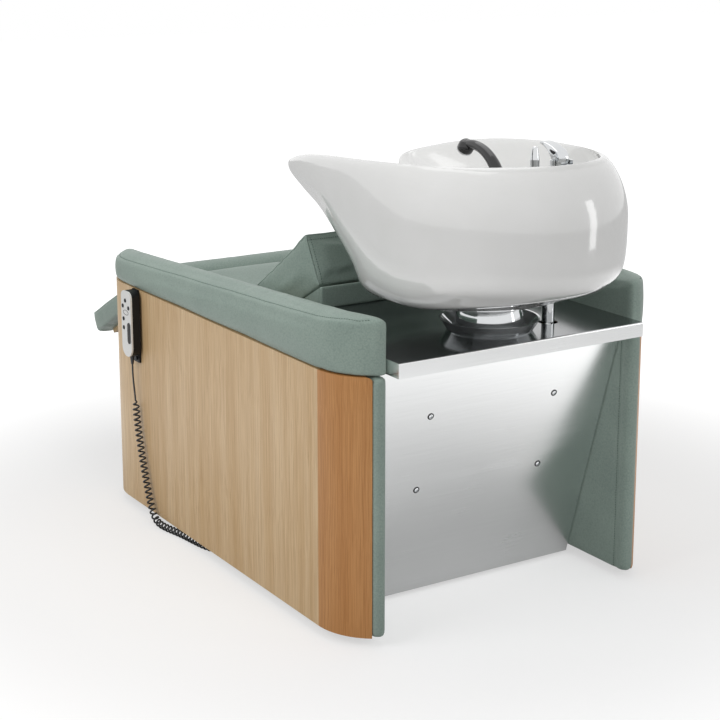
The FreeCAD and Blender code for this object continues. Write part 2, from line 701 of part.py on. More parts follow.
def make_seat_support():
    front = "-cheek_front"
    nose_back = ("hinge_y + nose_radius", "hinge_z")
    nose_top = ("hinge_y", "hinge_z + nose_radius")
    nose_front = ("hinge_y - nose_radius", "hinge_z")
    corners = [(front, RAIL_TOP), ("cheek_rear", RAIL_TOP), ("cheek_rear", under_back("0.95", "board")[1]),
               under_back("0.95", "board"), under_back("0", "board"), under_seat("seat_depth"),
               under_seat("0"), nose_back, nose_top, nose_front, (front, "hinge_z - 3 * nose_radius")]
    arcs = {7: ("nose_radius", 1), 8: ("nose_radius", 1)}
    cheek = prism("YZ_Plane", corners, "cheek_thick", arcs, x="liner_face - cheek_thick")
    bore = bar("bush_radius", "4 * cheek_thick", "liner_face - 2 * cheek_thick", "hinge_y", "hinge_z", "x")
    cheek = cut(cheek, bore)
    done(group(cheek, twin(cheek)), "seat_cheeks")

    inner = "liner_face - cheek_thick"
    bush = cut(bar("bush_radius", "cheek_thick", inner, "hinge_y", "hinge_z", "x"),
               bar("hinge_radius + run_fit", "cheek_thick", inner, "hinge_y", "hinge_z", "x"))
    done(group(bush, twin(bush)), "hinge_bushes")

    y, z = under_seat("0")
    seat_board = box("2 * (liner_face - side_gap)", "seat_depth", "board", "-(liner_face - side_gap)", y, z)
    seat_board.Placement.Rotation = FreeCAD.Rotation(Vector(-1, 0, 0), value("seat_tilt"))
    bind(seat_board, Placement__Rotation__Angle="seat_tilt")
    done(seat_board, "seat_board")

    corners = [under_back("0", "board"), under_back("0.95", "board"), under_back("0.95", "0"),
               under_back("0", "0")]
    done(prism("YZ_Plane", corners, "2 * (liner_face - side_gap)", symmetric=True), "backrest_board")

    apron = box("2 * (liner_face - cheek_thick)", "board", f"hinge_z - 5 * nose_radius - {RAIL_TOP}",
                "-(liner_face - cheek_thick)", front, RAIL_TOP)
    done(apron, "front_apron")


def pillow(stations):
    """A padded form through crowned sections. Each station is the middle of its underside, the way to
    its face, half its width, its thickness and its crown. The sides draw in a little."""
    wires = []
    for foot, way, half, thick, crown in stations:
        across = Vector(1, 0, 0)
        draw = crown / 3
        low = [foot - across * (half - draw), foot + across * (half - draw)]
        top = [foot + across * half + way * thick, foot - across * half + way * thick]
        right = foot + across * (half + draw) + way * (thick / 2)
        left = foot - across * (half + draw) + way * (thick / 2)
        crest = foot + way * (thick + crown)
        wires.append(Part.Wire([
            Part.LineSegment(low[0], low[1]).toShape(),
            Part.Arc(low[1], right, top[0]).toShape(),
            Part.Arc(top[0], crest, top[1]).toShape(),
            Part.Arc(top[1], left, low[0]).toShape(),
        ]))
    return Part.makeLoft(wires, True, False)


def make_cushions():
    tilt = math.radians(value("seat_tilt"))
    back_way = Vector(0, math.cos(tilt), -math.sin(tilt))
    up = Vector(0, math.sin(tilt), math.cos(tilt))
    depth, thick, crown = value("seat_depth"), value("seat_thick"), value("seat_crown")
    corner = Vector(0, -value("seat_front"), value("seat_front_z")) - up * (thick - value("soft_gap"))
    half, gap = value("seat_half"), value("soft_gap")
    stations = []
    for share, full in ((0, 0.25), (0.12, 0.8), (0.5, 1), (0.88, 0.8), (1, 0.25)):
        width = half - crown * (1 - full)
        height = thick - gap - crown * (1.3 - full)
        stations.append((corner + back_way * (depth * share), up, width, height, crown * full))
    done(feature(pillow(stations)), "seat_cushion")

    # The backrest narrows to its top, and its back leans forward from the seam.
    foot = Vector(0, value("back_foot_y"), value("back_foot_z"))
    face = Vector(0, value("back_face_y"), value("back_face_z"))
    seam = Vector(0, value("back_seam_y"), value("back_seam_z"))
    top = Vector(0, value("back_top_y"), value("back_top_z"))
    slope = math.radians(value(BACK_SLOPE))
    lift = Vector(0, -math.sin(slope), math.cos(slope)) * gap
    crown = value("back_crown")
    wide, narrow = value("back_low_half"), value("back_top_half")
    stations = []
    for share, full in ((0, 0.3), (0.15, 0.8), (0.5, 1), (0.85, 0.8), (1, 0.4)):
        low = foot + (seam - foot) * share + lift
        high = face + (top - face) * share
        way = high - low
        thick = way.Length - crown * full
        stations.append((low, way.normalize(), wide + (narrow - wide) * share, thick, crown * full))
    block = pillow(stations)
    shelf_side = Part.makeBox(2 * wide, value("side_length"), value("back_seam_z"),
                              Vector(-wide, value("back_seam_y"), 0))
    done(feature(block.cut(shelf_side)), "backrest_cushion")

    panel = box("2 * back_top_half", "back_panel", "back_seam_z - shelf_top", "-back_top_half",
                "back_seam_y + 2 * soft_gap + side_gap", "shelf_top")
    done(panel, "backrest_rear_panel")


LEG_ANGLE = math.radians(value("leg_angle"))
LEG_ALONG = Vector(0, -math.cos(LEG_ANGLE), -math.sin(LEG_ANGLE))
LEG_UP = Vector(0, -math.sin(LEG_ANGLE), math.cos(LEG_ANGLE))
HINGE = Vector(0, value("hinge_y"), value("hinge_z"))
CRANK_ANGLE = math.radians(value("rod_slope + crank_lead"))
CRANK_WAY = Vector(0, -math.sin(CRANK_ANGLE), -math.cos(CRANK_ANGLE))
CRANK_SIDE = Vector(0, math.cos(CRANK_ANGLE), -math.sin(CRANK_ANGLE))
ROD_ANGLE = math.radians(value("rod_slope"))
ROD_BACK = Vector(0, math.cos(ROD_ANGLE), -math.sin(ROD_ANGLE))
ROD_UP = Vector(0, math.sin(ROD_ANGLE), math.cos(ROD_ANGLE))
PIN = HINGE + CRANK_WAY * value("rod_drop / cos(crank_lead)")


def on_leg(along, up, x=0):
    """A place on the leg rest: out from the hinge, up from it, across."""
    return HINGE + LEG_ALONG * along + LEG_UP * up + Vector(x, 0, 0)


def slab(corners, x, thick):
    """A flat plate across X, from places in its plane."""
    places = [corner + Vector(x, 0, 0) for corner in corners]
    face = Part.Face(Part.makePolygon(places + places[:1]))
    return face.extrude(Vector(thick, 0, 0))


def across(radius, x, thick, middle=HINGE):
    """A disc or bar along X."""
    return Part.makeCylinder(radius, thick, Vector(x, middle.y, middle.z), Vector(1, 0, 0))


def make_leg_rest():
    """A pad with a rolled upper end round the hinge tube, on a board, with arms and a slotted crank."""
    roll, thick, long = value("leg_roll"), value("leg_thick"), value("leg_length")
    crown, half, gap, board = value("leg_crown"), value("leg_half"), value("soft_gap"), value("board")
    under = roll - thick
    tip_thin = value("leg_tip_thin")
    stations = []
    for share, full, thin in ((0, 0.6, 0), (0.1, 0.9, 0), (0.5, 1, 0), (0.9, 0.8, 0), (1, 0.1, tip_thin)):
        foot = on_leg(long * share, under + thick * thin / 2)
        stations.append((foot, LEG_UP, half - crown * (1 - full), (thick - crown) * (1 - thin), crown * full))
    cushion = pillow(stations).fuse(across(roll, -half, 2 * half))

    hub, plate, clear = value("hub_radius"), value("crank_thick"), value("plate_clear")
    inner, arm_x = value("crank_gap"), value("arm_x")
    plates = (-arm_x - plate / 2, -inner - plate, inner, arm_x - plate / 2)
    for x in plates:
        wide = plate + 2 * clear
        room = [on_leg(-hub, hub), on_leg(2 * roll, hub), on_leg(2 * roll, -2 * roll),
                on_leg(-hub, -2 * roll)]
        cushion = cushion.cut(across(hub + clear, x - clear, wide)).cut(slab(room, x - clear, wide))
    cushion = cushion.cut(across(value("hinge_radius") + gap, -2 * half, 4 * half))
    below = [on_leg(roll, under), on_leg(2 * long, under), on_leg(2 * long, -long), on_leg(roll, -long)]
    cushion = cushion.cut(slab(below, -2 * half, 4 * half))
    done(feature(cushion), "legrest_cushion")

    first, last = value("leg_board_from"), long - roll
    low, high = under - gap - board, under - gap
    corners = [on_leg(first, low), on_leg(last, low), on_leg(last, high), on_leg(first, high)]
    done(feature(slab(corners, roll - half, 2 * (half - roll))), "legrest_board")

    reach = "2 * (liner_face - side_gap)"
    done(cut(bar("hinge_radius", reach, "-(liner_face - side_gap)", "hinge_y", "hinge_z", "x"),
             bar("hinge_bore", reach, "-(liner_face - side_gap)", "hinge_y", "hinge_z", "x")), "hinge_tube")

    # The arms carry the board, and the crank between them takes the actuator's cross pin in its slots.
    strip, shoulder = value("arm_strip"), value("arm_shoulder")
    flare = hub * value("hub_flare")
    bore = across(value("hinge_radius + run_fit"), -half, 2 * half)
    arms = []
    for x in (-arm_x - plate / 2, arm_x - plate / 2):
        corners = [on_leg(0, -flare), on_leg(shoulder, low - strip), on_leg(last - roll, low - strip),
                   on_leg(last, low - gap), on_leg(shoulder, low - gap), on_leg(flare, 0)]
        arms.append(slab(corners, x, plate).fuse(across(hub, x, plate)).cut(bore).removeSplitter())
    done(feature(Part.makeCompound(arms)), "legrest_arms")

    slot_half = value("rod_pin + slot_play")
    rim = slot_half + value("crank_rim")
    near, far = value("slot_in"), value("slot_out")
    cranks = []
    for x in (-inner - plate, inner):
        corners = [HINGE - CRANK_SIDE * flare, HINGE + CRANK_WAY * near - CRANK_SIDE * rim,
                   HINGE + CRANK_WAY * (far - slot_half) - CRANK_SIDE * rim,
                   HINGE + CRANK_WAY * (far - slot_half) + CRANK_SIDE * rim,
                   HINGE + CRANK_WAY * near + CRANK_SIDE * rim, HINGE + CRANK_SIDE * flare]
        end = HINGE + CRANK_WAY * (far - slot_half)
        start = HINGE + CRANK_WAY * (near + slot_half)
        shape = slab(corners, x, plate).fuse([across(hub, x, plate), across(rim, x, plate, end)])
        slot = slab([start - CRANK_SIDE * slot_half, end - CRANK_SIDE * slot_half,
                     end + CRANK_SIDE * slot_half, start + CRANK_SIDE * slot_half], x, plate)
        slot = slot.fuse([across(slot_half, x, plate, start), across(slot_half, x, plate, end)])
        cranks.append(shape.cut(slot).cut(bore).removeSplitter())
    done(feature(Part.makeCompound(cranks)), "legrest_crank")


def make_actuator():
    start, long = value("actuator_start"), value("actuator_long")
    rod, tube_radius, nose_long = value("rod_radius"), value("actuator_radius"), value("nose_long")
    eye_half = value("crank_gap - eye_clear")
    eye = across(2 * value("rod_pin"), -eye_half, 2 * eye_half, PIN)
    shaft = Part.makeCylinder(rod, value("rod_long"), PIN, ROD_BACK)
    cross_pin = across(value("rod_pin"), -value("pin_half"), 2 * value("pin_half"), PIN)
    done(feature(shaft.fuse([eye, cross_pin]).removeSplitter()), "actuator_rod")

    tube_start = PIN + ROD_BACK * start
    body = Part.makeCylinder(tube_radius, long, tube_start, ROD_BACK)
    nose_start = tube_start - ROD_BACK * nose_long
    nose = Part.makeCone(rod + value("nose_wall"), tube_radius, nose_long, nose_start, ROD_BACK)
    motor_radius, motor_long = value("motor_radius"), value("motor_long")
    motor_start = tube_start + ROD_BACK * (long - motor_long) - ROD_UP * (motor_radius + rod)
    motor = Part.makeCylinder(motor_radius, motor_long, motor_start, ROD_BACK)
    bore = Part.makeCylinder(rod + value("rod_fit"), long, nose_start, ROD_BACK)
    done(feature(body.fuse([nose, motor]).cut(bore).removeSplitter()), "actuator_housing")

    # The hanger fills the wedge between the tube and the underside of the seat board.
    half = value("hanger_half")
    front = PIN + ROD_BACK * value("hanger_start")
    rear = front + ROD_BACK * value("hanger_long")
    board_y, board_z = (value(text) for text in under_seat("0"))
    fall = math.tan(math.radians(value("seat_tilt")))
    corners = [front, rear, Vector(0, rear.y, board_z - (rear.y - board_y) * fall),
               Vector(0, front.y, board_z - (front.y - board_y) * fall)]
    hanger = slab(corners, -half, 2 * half)
    done(feature(hanger.cut(Part.makeCylinder(tube_radius, long, tube_start, ROD_BACK))), "actuator_hanger")


def make_tilt():
    """A chrome dome turns in a dished socket, on two pins between the socket's posts and a bracket."""
    wall, rim, foot = "socket_wall", "socket_rim", "socket_foot"
    corners = [("socket_hole", "0"), (foot, "0"), (rim, "socket_height"),
               (f"{rim} - {wall}", "socket_height"), (f"{foot} - {wall}", wall), ("socket_hole", wall)]
    dish = turned(corners, "0", "basin_mid", "shelf_top")
    floor = "(shelf_top + socket_wall)"
    post = fuse(box("post_thick", "2 * post_round", f"tilt_height - {floor}", "post_x",
                    "basin_mid - post_round", floor),
                bar("post_round", "post_thick", "post_x", "basin_mid", "tilt_height", "x"))
    drilled = cut(post, bar("pin_radius", "post_thick", "post_x", "basin_mid", "tilt_height", "x"))
    done(fuse(dish, drilled, twin(drilled)), "tilt_socket")

    pin_long = "post_thick + ear_gap + ear_thick + side_gap"
    pin = bar("pin_radius", pin_long, "post_x", "basin_mid", "tilt_height", "x")
    done(group(pin, twin(pin)), "tilt_pins")

    ear_x = "(post_x + post_thick + ear_gap)"
    plate_low = "(basin_foot - bracket_plate)"
    ear = fuse(box("ear_thick", "2 * post_round", f"{plate_low} - tilt_height", ear_x,
                   "basin_mid - post_round", "tilt_height"),
               bar("post_round", "ear_thick", ear_x, "basin_mid", "tilt_height", "x"))
    plate = cut(bar("bracket_radius", "bracket_plate", "0", "basin_mid", plate_low),
                bar("nut_radius + side_gap", "bracket_plate", "0", "basin_mid", plate_low))
    whole = fuse(plate, ear, twin(ear))
    bores = bar("pin_radius + run_fit", "2 * bracket_radius", "-bracket_radius", "basin_mid",
                "tilt_height", "x")
    done(cut(whole, bores), "basin_bracket")

    # The dome is a belt of a ball about the tilt axis.
    outer, inner = value("dome_radius"), value("dome_radius - dome_wall")
    middle = Vector(0, value("basin_mid"), value("tilt_height"))
    belt = Part.makeCylinder(2 * outer, value("basin_foot - dome_low"),
                             Vector(0, value("basin_mid"), value("dome_low")))
    shell = Part.makeSphere(outer, middle).common(belt)
    done(feature(shell.cut(Part.makeSphere(inner, middle)).removeSplitter()), "tilt_dome")


# The basin's walls, as rings about the drain: half width, reach to the front and to the rear, and height
# above the basin's foot at the front and at the rear.
WALL_RINGS = {
    "base": (74, 80, 80, 0, 0),
    "under": (124, 165, 124, -2, 14),
    "turn": (251, 276, 263, -6, 30),
    "flank": (270, 241, 290, 70, 88),
    "inner_flank": (226, 195, 116, 118, 118),
    "inner_turn": (174, 165, 92, 46, 46),
}

# Stations along half the basin's rim, from the middle of the rear to the middle of the neck. Each gives
# its angle on the rings, a place near the rim's crest, how far the outer shoulder stands out from the
# crest and drops below it, and how far the inner wall's foot and ledge lie in from it and below it.
BASIN_STATIONS = (
    # angle, crest x, y, z, shoulder out, drop, foot in, drop, ledge in, drop
    (90, 0, 738, 952, 24, 60, 28, 56, 132, 52),        # middle of the rear
    (75, 95, 738, 952, 24, 60, 28, 56, 132, 52),       # rear
    (52, 190, 690, 950, 24, 60, 28, 58, 110, 60),      # rear corner
    (28, 244, 580, 946, 24, 60, 26, 66, 50, 110),      # behind the side
    (6, 255, 430, 941, 22, 60, 24, 70, 38, 130),       # side
    (-14, 252, 280, 934, 20, 60, 24, 70, 38, 130),     # front of the side
    (-30, 237, 150, 922, 12, 70, 24, 56, 44, 100),     # root of the horn
    (-44, 203, 40, 904, 6, 68, 24, 26, 44, 60),        # horn
    (-54, 180, -45, 884, 4, 60, 24, 8, 36, 22),        # outer tip of the horn
    (-61, 138, -72, 868, 2, 54, 24, 4, 36, 14),        # tip of the horn
    (-68, 102, -20, 852, 2, 50, 22, 4, 36, 14),        # inner tip of the horn
    (-75, 84, 74, 816, 2, 48, 22, 6, 40, 20),          # shoulder of the neck
    (-82, 56, 138, 784, 4, 46, 22, 8, 46, 26),         # side of the neck
    (-90, 0, 152, 774, 4, 46, 22, 8, 50, 28),          # middle of the neck
)
DOWN = Vector(0, 0, -1)


def on_ring(name, degrees):
    """A place on one of the wall's rings, which are squarer than an oval."""
    half, front, rear, low, high = WALL_RINGS[name]
    along, across_it = math.sin(math.radians(degrees)), math.cos(math.radians(degrees))
    power = 2 / value("basin_square")
    reach = rear if along > 0 else -front
    height = value("basin_foot") + (low + high) / 2 + (high - low) / 2 * along
    return Vector(half * abs(across_it) ** power, value("basin_mid") + reach * abs(along) ** power, height)


def basin_net():
    """The control net: a closed ring of profiles, each from the base up over the rim to the drain."""
    drain = Vector(0, value("basin_mid"), value("bowl_floor"))
    hole, keel = value("drain_flange"), value("keel_share")
    rim, rim_fall = value("rim_half"), value("rim_fall")
    crests = [Vector(*station[1:4]) for station in BASIN_STATIONS]
    line = [Vector(-crests[1].x, crests[1].y, 0)] + crests + [Vector(-crests[-2].x, crests[-2].y, 0)]
    half = []
    for number, (degrees, _, _, _, *wall) in enumerate(BASIN_STATIONS):
        shoulder_out, shoulder_drop, foot_in, foot_drop, ledge_in, ledge_drop = wall
        crest = crests[number]
        run = line[number + 2] - line[number]
        outward = Vector(-run.y, run.x, 0).normalize()
        around = Vector(math.cos(math.radians(degrees)), math.sin(math.radians(degrees)), 0)
        flank = on_ring("flank", degrees)
        shoulder = crest + outward * shoulder_out + DOWN * shoulder_drop
        half.append([
            on_ring("base", degrees),
            on_ring("under", degrees),
            on_ring("turn", degrees),
            flank,
            shoulder + (flank - shoulder) * keel,
            shoulder,
            crest + outward * rim + DOWN * rim_fall,
            crest,
            crest - outward * rim + DOWN * rim_fall,
            crest - outward * foot_in + DOWN * foot_drop,
            crest - outward * ledge_in + DOWN * ledge_drop,
            on_ring("inner_flank", degrees),
            on_ring("inner_turn", degrees),
            drain + around * (2 * hole),
            drain + around * hole,
        ])
    mirror = [[Vector(-p.x, p.y, p.z) for p in row] for row in half[-2:0:-1]]
    return half + mirror


def basin_solid():
    net = basin_net()
    rows, columns, degree = len(net), len(net[0]), 3
    spans = columns - degree
    surface = Part.BSplineSurface()
    surface.buildFromPolesMultsKnots(
        net, [1] * (rows + 1), [degree + 1] + [1] * (spans - 1) + [degree + 1],
        list(range(rows + 1)), list(range(spans + 1)), True, False, degree, degree)
    lids = [Part.Face(Part.Wire([surface.vIso(v).toShape()])) for v in (0, spans)]
    shell = Part.Shell([surface.toShape()] + lids)
    shell.sewShape()
    solid = Part.Solid(Part.Shell(shell.Faces))
    if solid.Volume < 0:
        solid.reverse()
    return solid


LEAN = math.radians(value("shower_lean"))
SHOWER_UP = Vector(0, -math.sin(LEAN), math.cos(LEAN))
SHOWER_FOOT = Vector(value("shower_x"), value("shower_y"), value("deck_height + guide_rise"))
SLEEVE = Vector(value("sleeve_x"), value("sleeve_y"), value("sleeve_low"))


def upright(radius, x, y, low, high):
    """A bar along Z between two heights, at sizes named in the sheet."""
    return Part.makeCylinder(value(radius), high - low, Vector(value(x), value(y), low))


def make_basin():
    """The ceramic is cast hollow behind the bowl, where the pipes run from the deck to the sleeve."""
    seat, fit, foot = value("tap_seat"), value("tap_fit"), value("basin_foot")
    half, low = value("cavity_half"), value("cavity_low")
    front, rear, roof = value("cavity_front"), value("cavity_rear"), value("cavity_roof")
    cavity = Part.makeBox(2 * half, rear - front, roof - low, Vector(-half, front, low))
    sleeve_top = Vector(SLEEVE.x, SLEEVE.y, foot - fit)
    way = value("channel_radius")
    channel = Vector(way - half, (front + rear) / 2, low) - sleeve_top
    high = value("post_tap_top")
    tools = [
        cavity,
        Part.makeCylinder(way, channel.Length + way, sleeve_top, channel),
        upright("drain_radius + drain_clear", "0", "basin_mid", foot - fit, value("bowl_floor") + fit),
        upright("mixer_radius + tap_fit", "mixer_x", "mixer_y", seat, high),
        upright("mixer_stem + tap_fit", "mixer_x", "mixer_y", roof - fit, high),
        upright("post_flange + tap_fit", "post_tap_x", "post_tap_y", seat, high),
        Part.makeCylinder(value("shower_stem + guide_clear + guide_wall + tap_fit"), 2 * (roof - low),
                          SHOWER_FOOT - SHOWER_UP * (roof - low), SHOWER_UP),
    ]
    basin = basin_solid()
    for tool in tools:
        basin = basin.cut(tool)
    done(feature(basin), "basin")

    tall = value("basin_foot - sleeve_low + 2 * sleeve_radius")
    outer = Part.makeCylinder(value("sleeve_radius"), tall, SLEEVE)
    inner = Part.makeCylinder(value("sleeve_radius - sleeve_wall"), tall, SLEEVE)
    trimmed = outer.cut(inner).cut(basin)
    done(feature(min(trimmed.Solids, key=lambda solid: solid.BoundBox.ZMin)), "hose_sleeve")


def make_drain():
    """A flanged tube through the basin's floor, narrowed below, with its nut and a loose strainer."""
    wide, bore = "drain_radius", "(drain_radius - drain_wall)"
    tail, tail_bore = bore, "(drain_radius - 2 * drain_wall)"
    lip = "(bowl_floor + drain_wall)"
    neck = "(basin_foot - nut_thick - drain_wall)"
    seat = "(bowl_floor - strainer_sunk)"
    corners = [(bore, lip), (bore, seat), (tail_bore, seat), (tail_bore, "tail_low"), (tail, "tail_low"),
               (tail, neck), (wide, neck), (wide, "bowl_floor"), ("drain_flange - side_gap", "bowl_floor"),
               ("drain_flange - drain_wall", lip)]
    done(turned(corners, "0", "basin_mid", "0"), "drain_flange")
    nut_low = "(basin_foot - nut_thick)"
    done(cut(bar("nut_radius", "nut_thick", "0", "basin_mid", nut_low),
             bar("drain_radius + run_fit", "nut_thick", "0", "basin_mid", nut_low)), "drain_nut")

    corners = [("0", "0"), ("strainer_radius", "0"), ("strainer_radius", "drain_wall"),
               ("knob_radius", "drain_wall"), ("knob_radius", "knob_rise"), ("0", "knob_rise")]
    disc = turned(corners, "0", "basin_mid", seat)
    ring = (value("strainer_radius") + value("knob_radius")) / 2
    holes = []
    count = int(value("strainer_holes"))
    for number in range(count):
        angle = 2 * math.pi * number / count
        middle = Vector(ring * math.cos(angle), value("basin_mid") + ring * math.sin(angle), value(seat))
        holes.append(Part.makeCylinder(value("strainer_hole"), value("drain_wall"), middle))
    done(cut(disc, feature(Part.makeCompound(holes))), "strainer")


def make_taps():
    """A backflow post and a lever mixer on the deck behind the bowl."""
    flange, stem, tip = "post_flange", "post_tap_radius", "post_tip"
    top = "(post_tap_top - tap_seat)"
    corners = [("0", "0"), (flange, "0"), (flange, "collar_rise"), (stem, "collar_rise + drain_wall"),
               (stem, f"{top} - post_nose"), (tip, f"{top} - {tip}"), ("0", top)]
    done(turned(corners, "post_tap_x", "post_tap_y", "tap_seat", {5: (tip, 1)}), "backflow_post")

    base_top = "(deck_height + mixer_rise)"
    corners = [("0", "cavity_roof"), ("mixer_stem", "cavity_roof"), ("mixer_stem", "tap_seat"),
               ("mixer_radius", "tap_seat"), ("mixer_radius", base_top), ("0", base_top)]
    done(turned(corners, "mixer_x", "mixer_y", "0"), "mixer_base")

    # The cap turns on the base. The lever lifts on a pin across the cap's slot.
    cap_low = value(f"{base_top} + soft_gap")
    cap_radius, rise = value("mixer_radius"), value("cap_rise")
    x, y = value("mixer_x"), value("mixer_y")
    half = value("lever_width / 2")
    play, hub, pin = value("lever_play"), value("lever_hub"), value("lever_pin")
    pivot = Vector(x, y, cap_low + rise - pin - play)
    body = Part.makeCylinder(cap_radius, rise, Vector(x, y, cap_low))
    slot = Part.makeBox(2 * (half + play), 4 * cap_radius, 2 * rise,
                        Vector(x - half - play, y - 2 * cap_radius, pivot.z - hub - play))
    pin_half = math.sqrt(cap_radius ** 2 - pin ** 2) - play
    body = body.cut(slot).fuse(across(pin, x - pin_half, 2 * pin_half, pivot)).removeSplitter()
    done(feature(body), "mixer_cap")

    bow, thick = value("lever_bow"), value("lever_thick")
    centre = Vector(0, y - value("lever_back"), pivot.z + value("lever_lift") - bow)

    def on_bow(radius, degrees):
        angle = math.radians(degrees)
        return centre + Vector(x - half, radius * math.cos(angle), radius * math.sin(angle))

    first, last = value("lever_from"), value("lever_to")
    middle = (first + last) / 2
    outline_wire = Part.Wire([
        Part.Arc(*[on_bow(bow + thick, angle) for angle in (first, middle, last)]).toShape(),
        Part.LineSegment(on_bow(bow + thick, last), on_bow(bow, last)).toShape(),
        Part.Arc(*[on_bow(bow, angle) for angle in (last, middle, first)]).toShape(),
        Part.LineSegment(on_bow(bow, first), on_bow(bow + thick, first)).toShape(),
    ])
    paddle = Part.Face(outline_wire).extrude(Vector(2 * half, 0, 0))
    neck_top = on_bow(bow + thick / 2, first + thick)
    neck = slab([Vector(0, y - hub, pivot.z), Vector(0, y + hub, pivot.z),
                 Vector(0, neck_top.y + hub / 2, neck_top.z), Vector(0, neck_top.y - hub, neck_top.z)],
                x - half, 2 * half)
    lever = paddle.fuse([neck, across(hub, x - half, 2 * half, pivot)])
    lever = lever.cut(across(pin + value("run_fit"), x - 2 * half, 4 * half, pivot))
    done(feature(lever.removeSplitter()), "mixer_lever")


def make_shower():
    """A hand shower that stands in a guide in the deck and pulls out with its hose."""
    stem, clear, wall = value("shower_stem"), value("guide_clear"), value("guide_wall")
    deep = value("deck_height + guide_rise - cavity_roof")
    low = SHOWER_FOOT - SHOWER_UP * deep
    ring = Part.makeCylinder(stem + clear + wall, deep, low, SHOWER_UP)
    done(feature(ring.cut(Part.makeCylinder(stem + clear, deep, low, SHOWER_UP))), "shower_guide")

    bow, grip = value("shower_bow"), value("shower_body")
    lift = SHOWER_UP * value("run_fit")
    side = Vector(0, math.cos(LEAN), math.sin(LEAN))
    centre = SHOWER_FOOT + lift - side * bow
    turn = math.radians(value("shower_turn"))

    def along_neck(share):
        angle = LEAN + turn * share
        middle = Vector(centre.x, centre.y + bow * math.cos(angle), centre.z + bow * math.sin(angle))
        return middle, Vector(0, -math.sin(angle), math.cos(angle))

    # The grip swells from the guide to its middle and narrows a little to the spray head.
    steps, thin = int(value("shower_steps")), value("shower_thin")
    wires = []
    for step in range(steps + 1):
        middle, way = along_neck(step / steps)
        swell = 1 - thin * (2 * step / steps - 1) ** 4
        wires.append(Part.Wire([Part.Circle(middle, way, grip * swell).toShape()]))
    body = Part.makeLoft(wires, True, True)
    stem_long = value("stem_long")
    stem_end = SHOWER_FOOT + lift - SHOWER_UP * stem_long
    stem_bar = Part.makeCylinder(stem, stem_long, stem_end, SHOWER_UP)
    done(feature(body.fuse(stem_bar)), "shower_handle")

    end, way = along_neck(1)
    head, deep = value("spray_radius"), value("spray_deep")
    spray = Part.makeCone(grip * (1 - thin), head, deep / 3, end, way)
    face = Part.makeCylinder(head, deep - deep / 3, end + way * (deep / 3), way)
    done(feature(spray.fuse(face).removeSplitter()), "spray_head")

    hose_long = value("hose_long")
    hose = Part.makeCylinder(value("hose_radius"), hose_long, stem_end - SHOWER_UP * hose_long, SHOWER_UP)
    done(feature(hose), "shower_hose")


HAND_IN = "(half_width + cradle_thick + hand_gap)"
HAND_FACE = f"({HAND_IN} + hand_back + hand_front)"
RELIEF_X = f"({HAND_IN} + hand_back / 2)"

# Buttons on the hand control's face: rearward of its middle, above its middle.
BUTTONS = ((-2.5, 55.5), (-16.4, 40.9), (14.1, 40), (-13.6, 10.7), (-13.6, -10.6))


def hand_outline():
    """The hand control's outline: rounded shoulders and a rounder lower end."""
    half, top, low = "hand_wide / 2", "hand_top_round", "hand_low_round"
    tall = "hand_tall / 2"
    corners = [(f"-{half} + {low}", f"-{tall}"), (f"{half} - {low}", f"-{tall}"), (half, f"-{tall} + {low}"),
               (half, f"{tall} - {top}"), (f"{half} - {top}", tall), (f"-{half} + {top}", tall),
               (f"-{half}", f"{tall} - {top}"), (f"-{half}", f"-{tall} + {low}")]
    arcs = {1: (low, 1), 3: (top, 1), 5: (top, 1), 7: (low, 1)}
    return corners, arcs


def peg(radius, low, high, y, z):
    """A bar along X between two expressions, at a place on the hand control's face."""
    return bar(radius, f"{high} - {low}", low, f"hand_y + ({y})", f"hand_z + ({z})", "x")


def stadium(half, end, thick, x):
    """An upright key with round ends, where the rocker is."""
    straight = f"({half} - ({end}))"
    corners = [(f"-({end})", f"-{straight}"), ("0", f"-({half})"), (end, f"-{straight}"),
               (end, straight), ("0", half), (f"-({end})", straight)]
    arcs = {side: (end, 1) for side in (0, 1, 3, 4)}
    return prism("YZ_Plane", corners, thick, arcs, x=x, y="hand_y + rocker_y", z="hand_z + rocker_z")


def make_hand_control():
    corners, arcs = hand_outline()
    back = prism("YZ_Plane", corners, "hand_back", arcs, x=HAND_IN, y="hand_y", z="hand_z")
    front = prism("YZ_Plane", corners, "hand_front", arcs, x=f"{HAND_IN} + hand_back", y="hand_y", z="hand_z")
    well_low = f"({HAND_FACE} - button_deep - button_well)"
    wells = [peg("button_radius + button_clear", well_low, HAND_FACE, y, z) for y, z in BUTTONS]
    wells.append(stadium("rocker_half + button_clear", "rocker_round + button_clear",
                         f"{HAND_FACE} - {well_low}", well_low))
    pocket = group(*wells)
    done(cut(back, pocket), "hand_back_shell")
    done(cut(front, pocket), "hand_front_shell")
    low = f"({HAND_FACE} - button_deep)"
    for number, (y, z) in enumerate(BUTTONS, 1):
        done(peg("button_radius", low, f"({HAND_FACE} + button_rise)", y, z), f"button_{number}")
    done(stadium("rocker_half", "rocker_round", "button_deep + button_rise", low), "rocker")

    plate_low = "(shell_top - cradle_tall - soft_gap)"
    plate = box("cradle_thick", "cradle_wide", "cradle_tall", "half_width", "hand_y - cradle_wide / 2",
                plate_low)
    head = bar("cradle_screw", "cradle_thick + screw_proud", "half_width", "hand_y",
               f"{plate_low} + 2 * cradle_screw", "x")
    done(fuse(plate, head), "hand_cradle")

    corners = [("0", "0"), ("relief_low", "0"), ("relief_high", "relief_long"), ("0", "relief_long")]
    relief = turned(corners, RELIEF_X, "hand_y + relief_y", "hand_z - hand_tall / 2 - relief_long")
    done(relief, "strain_relief")


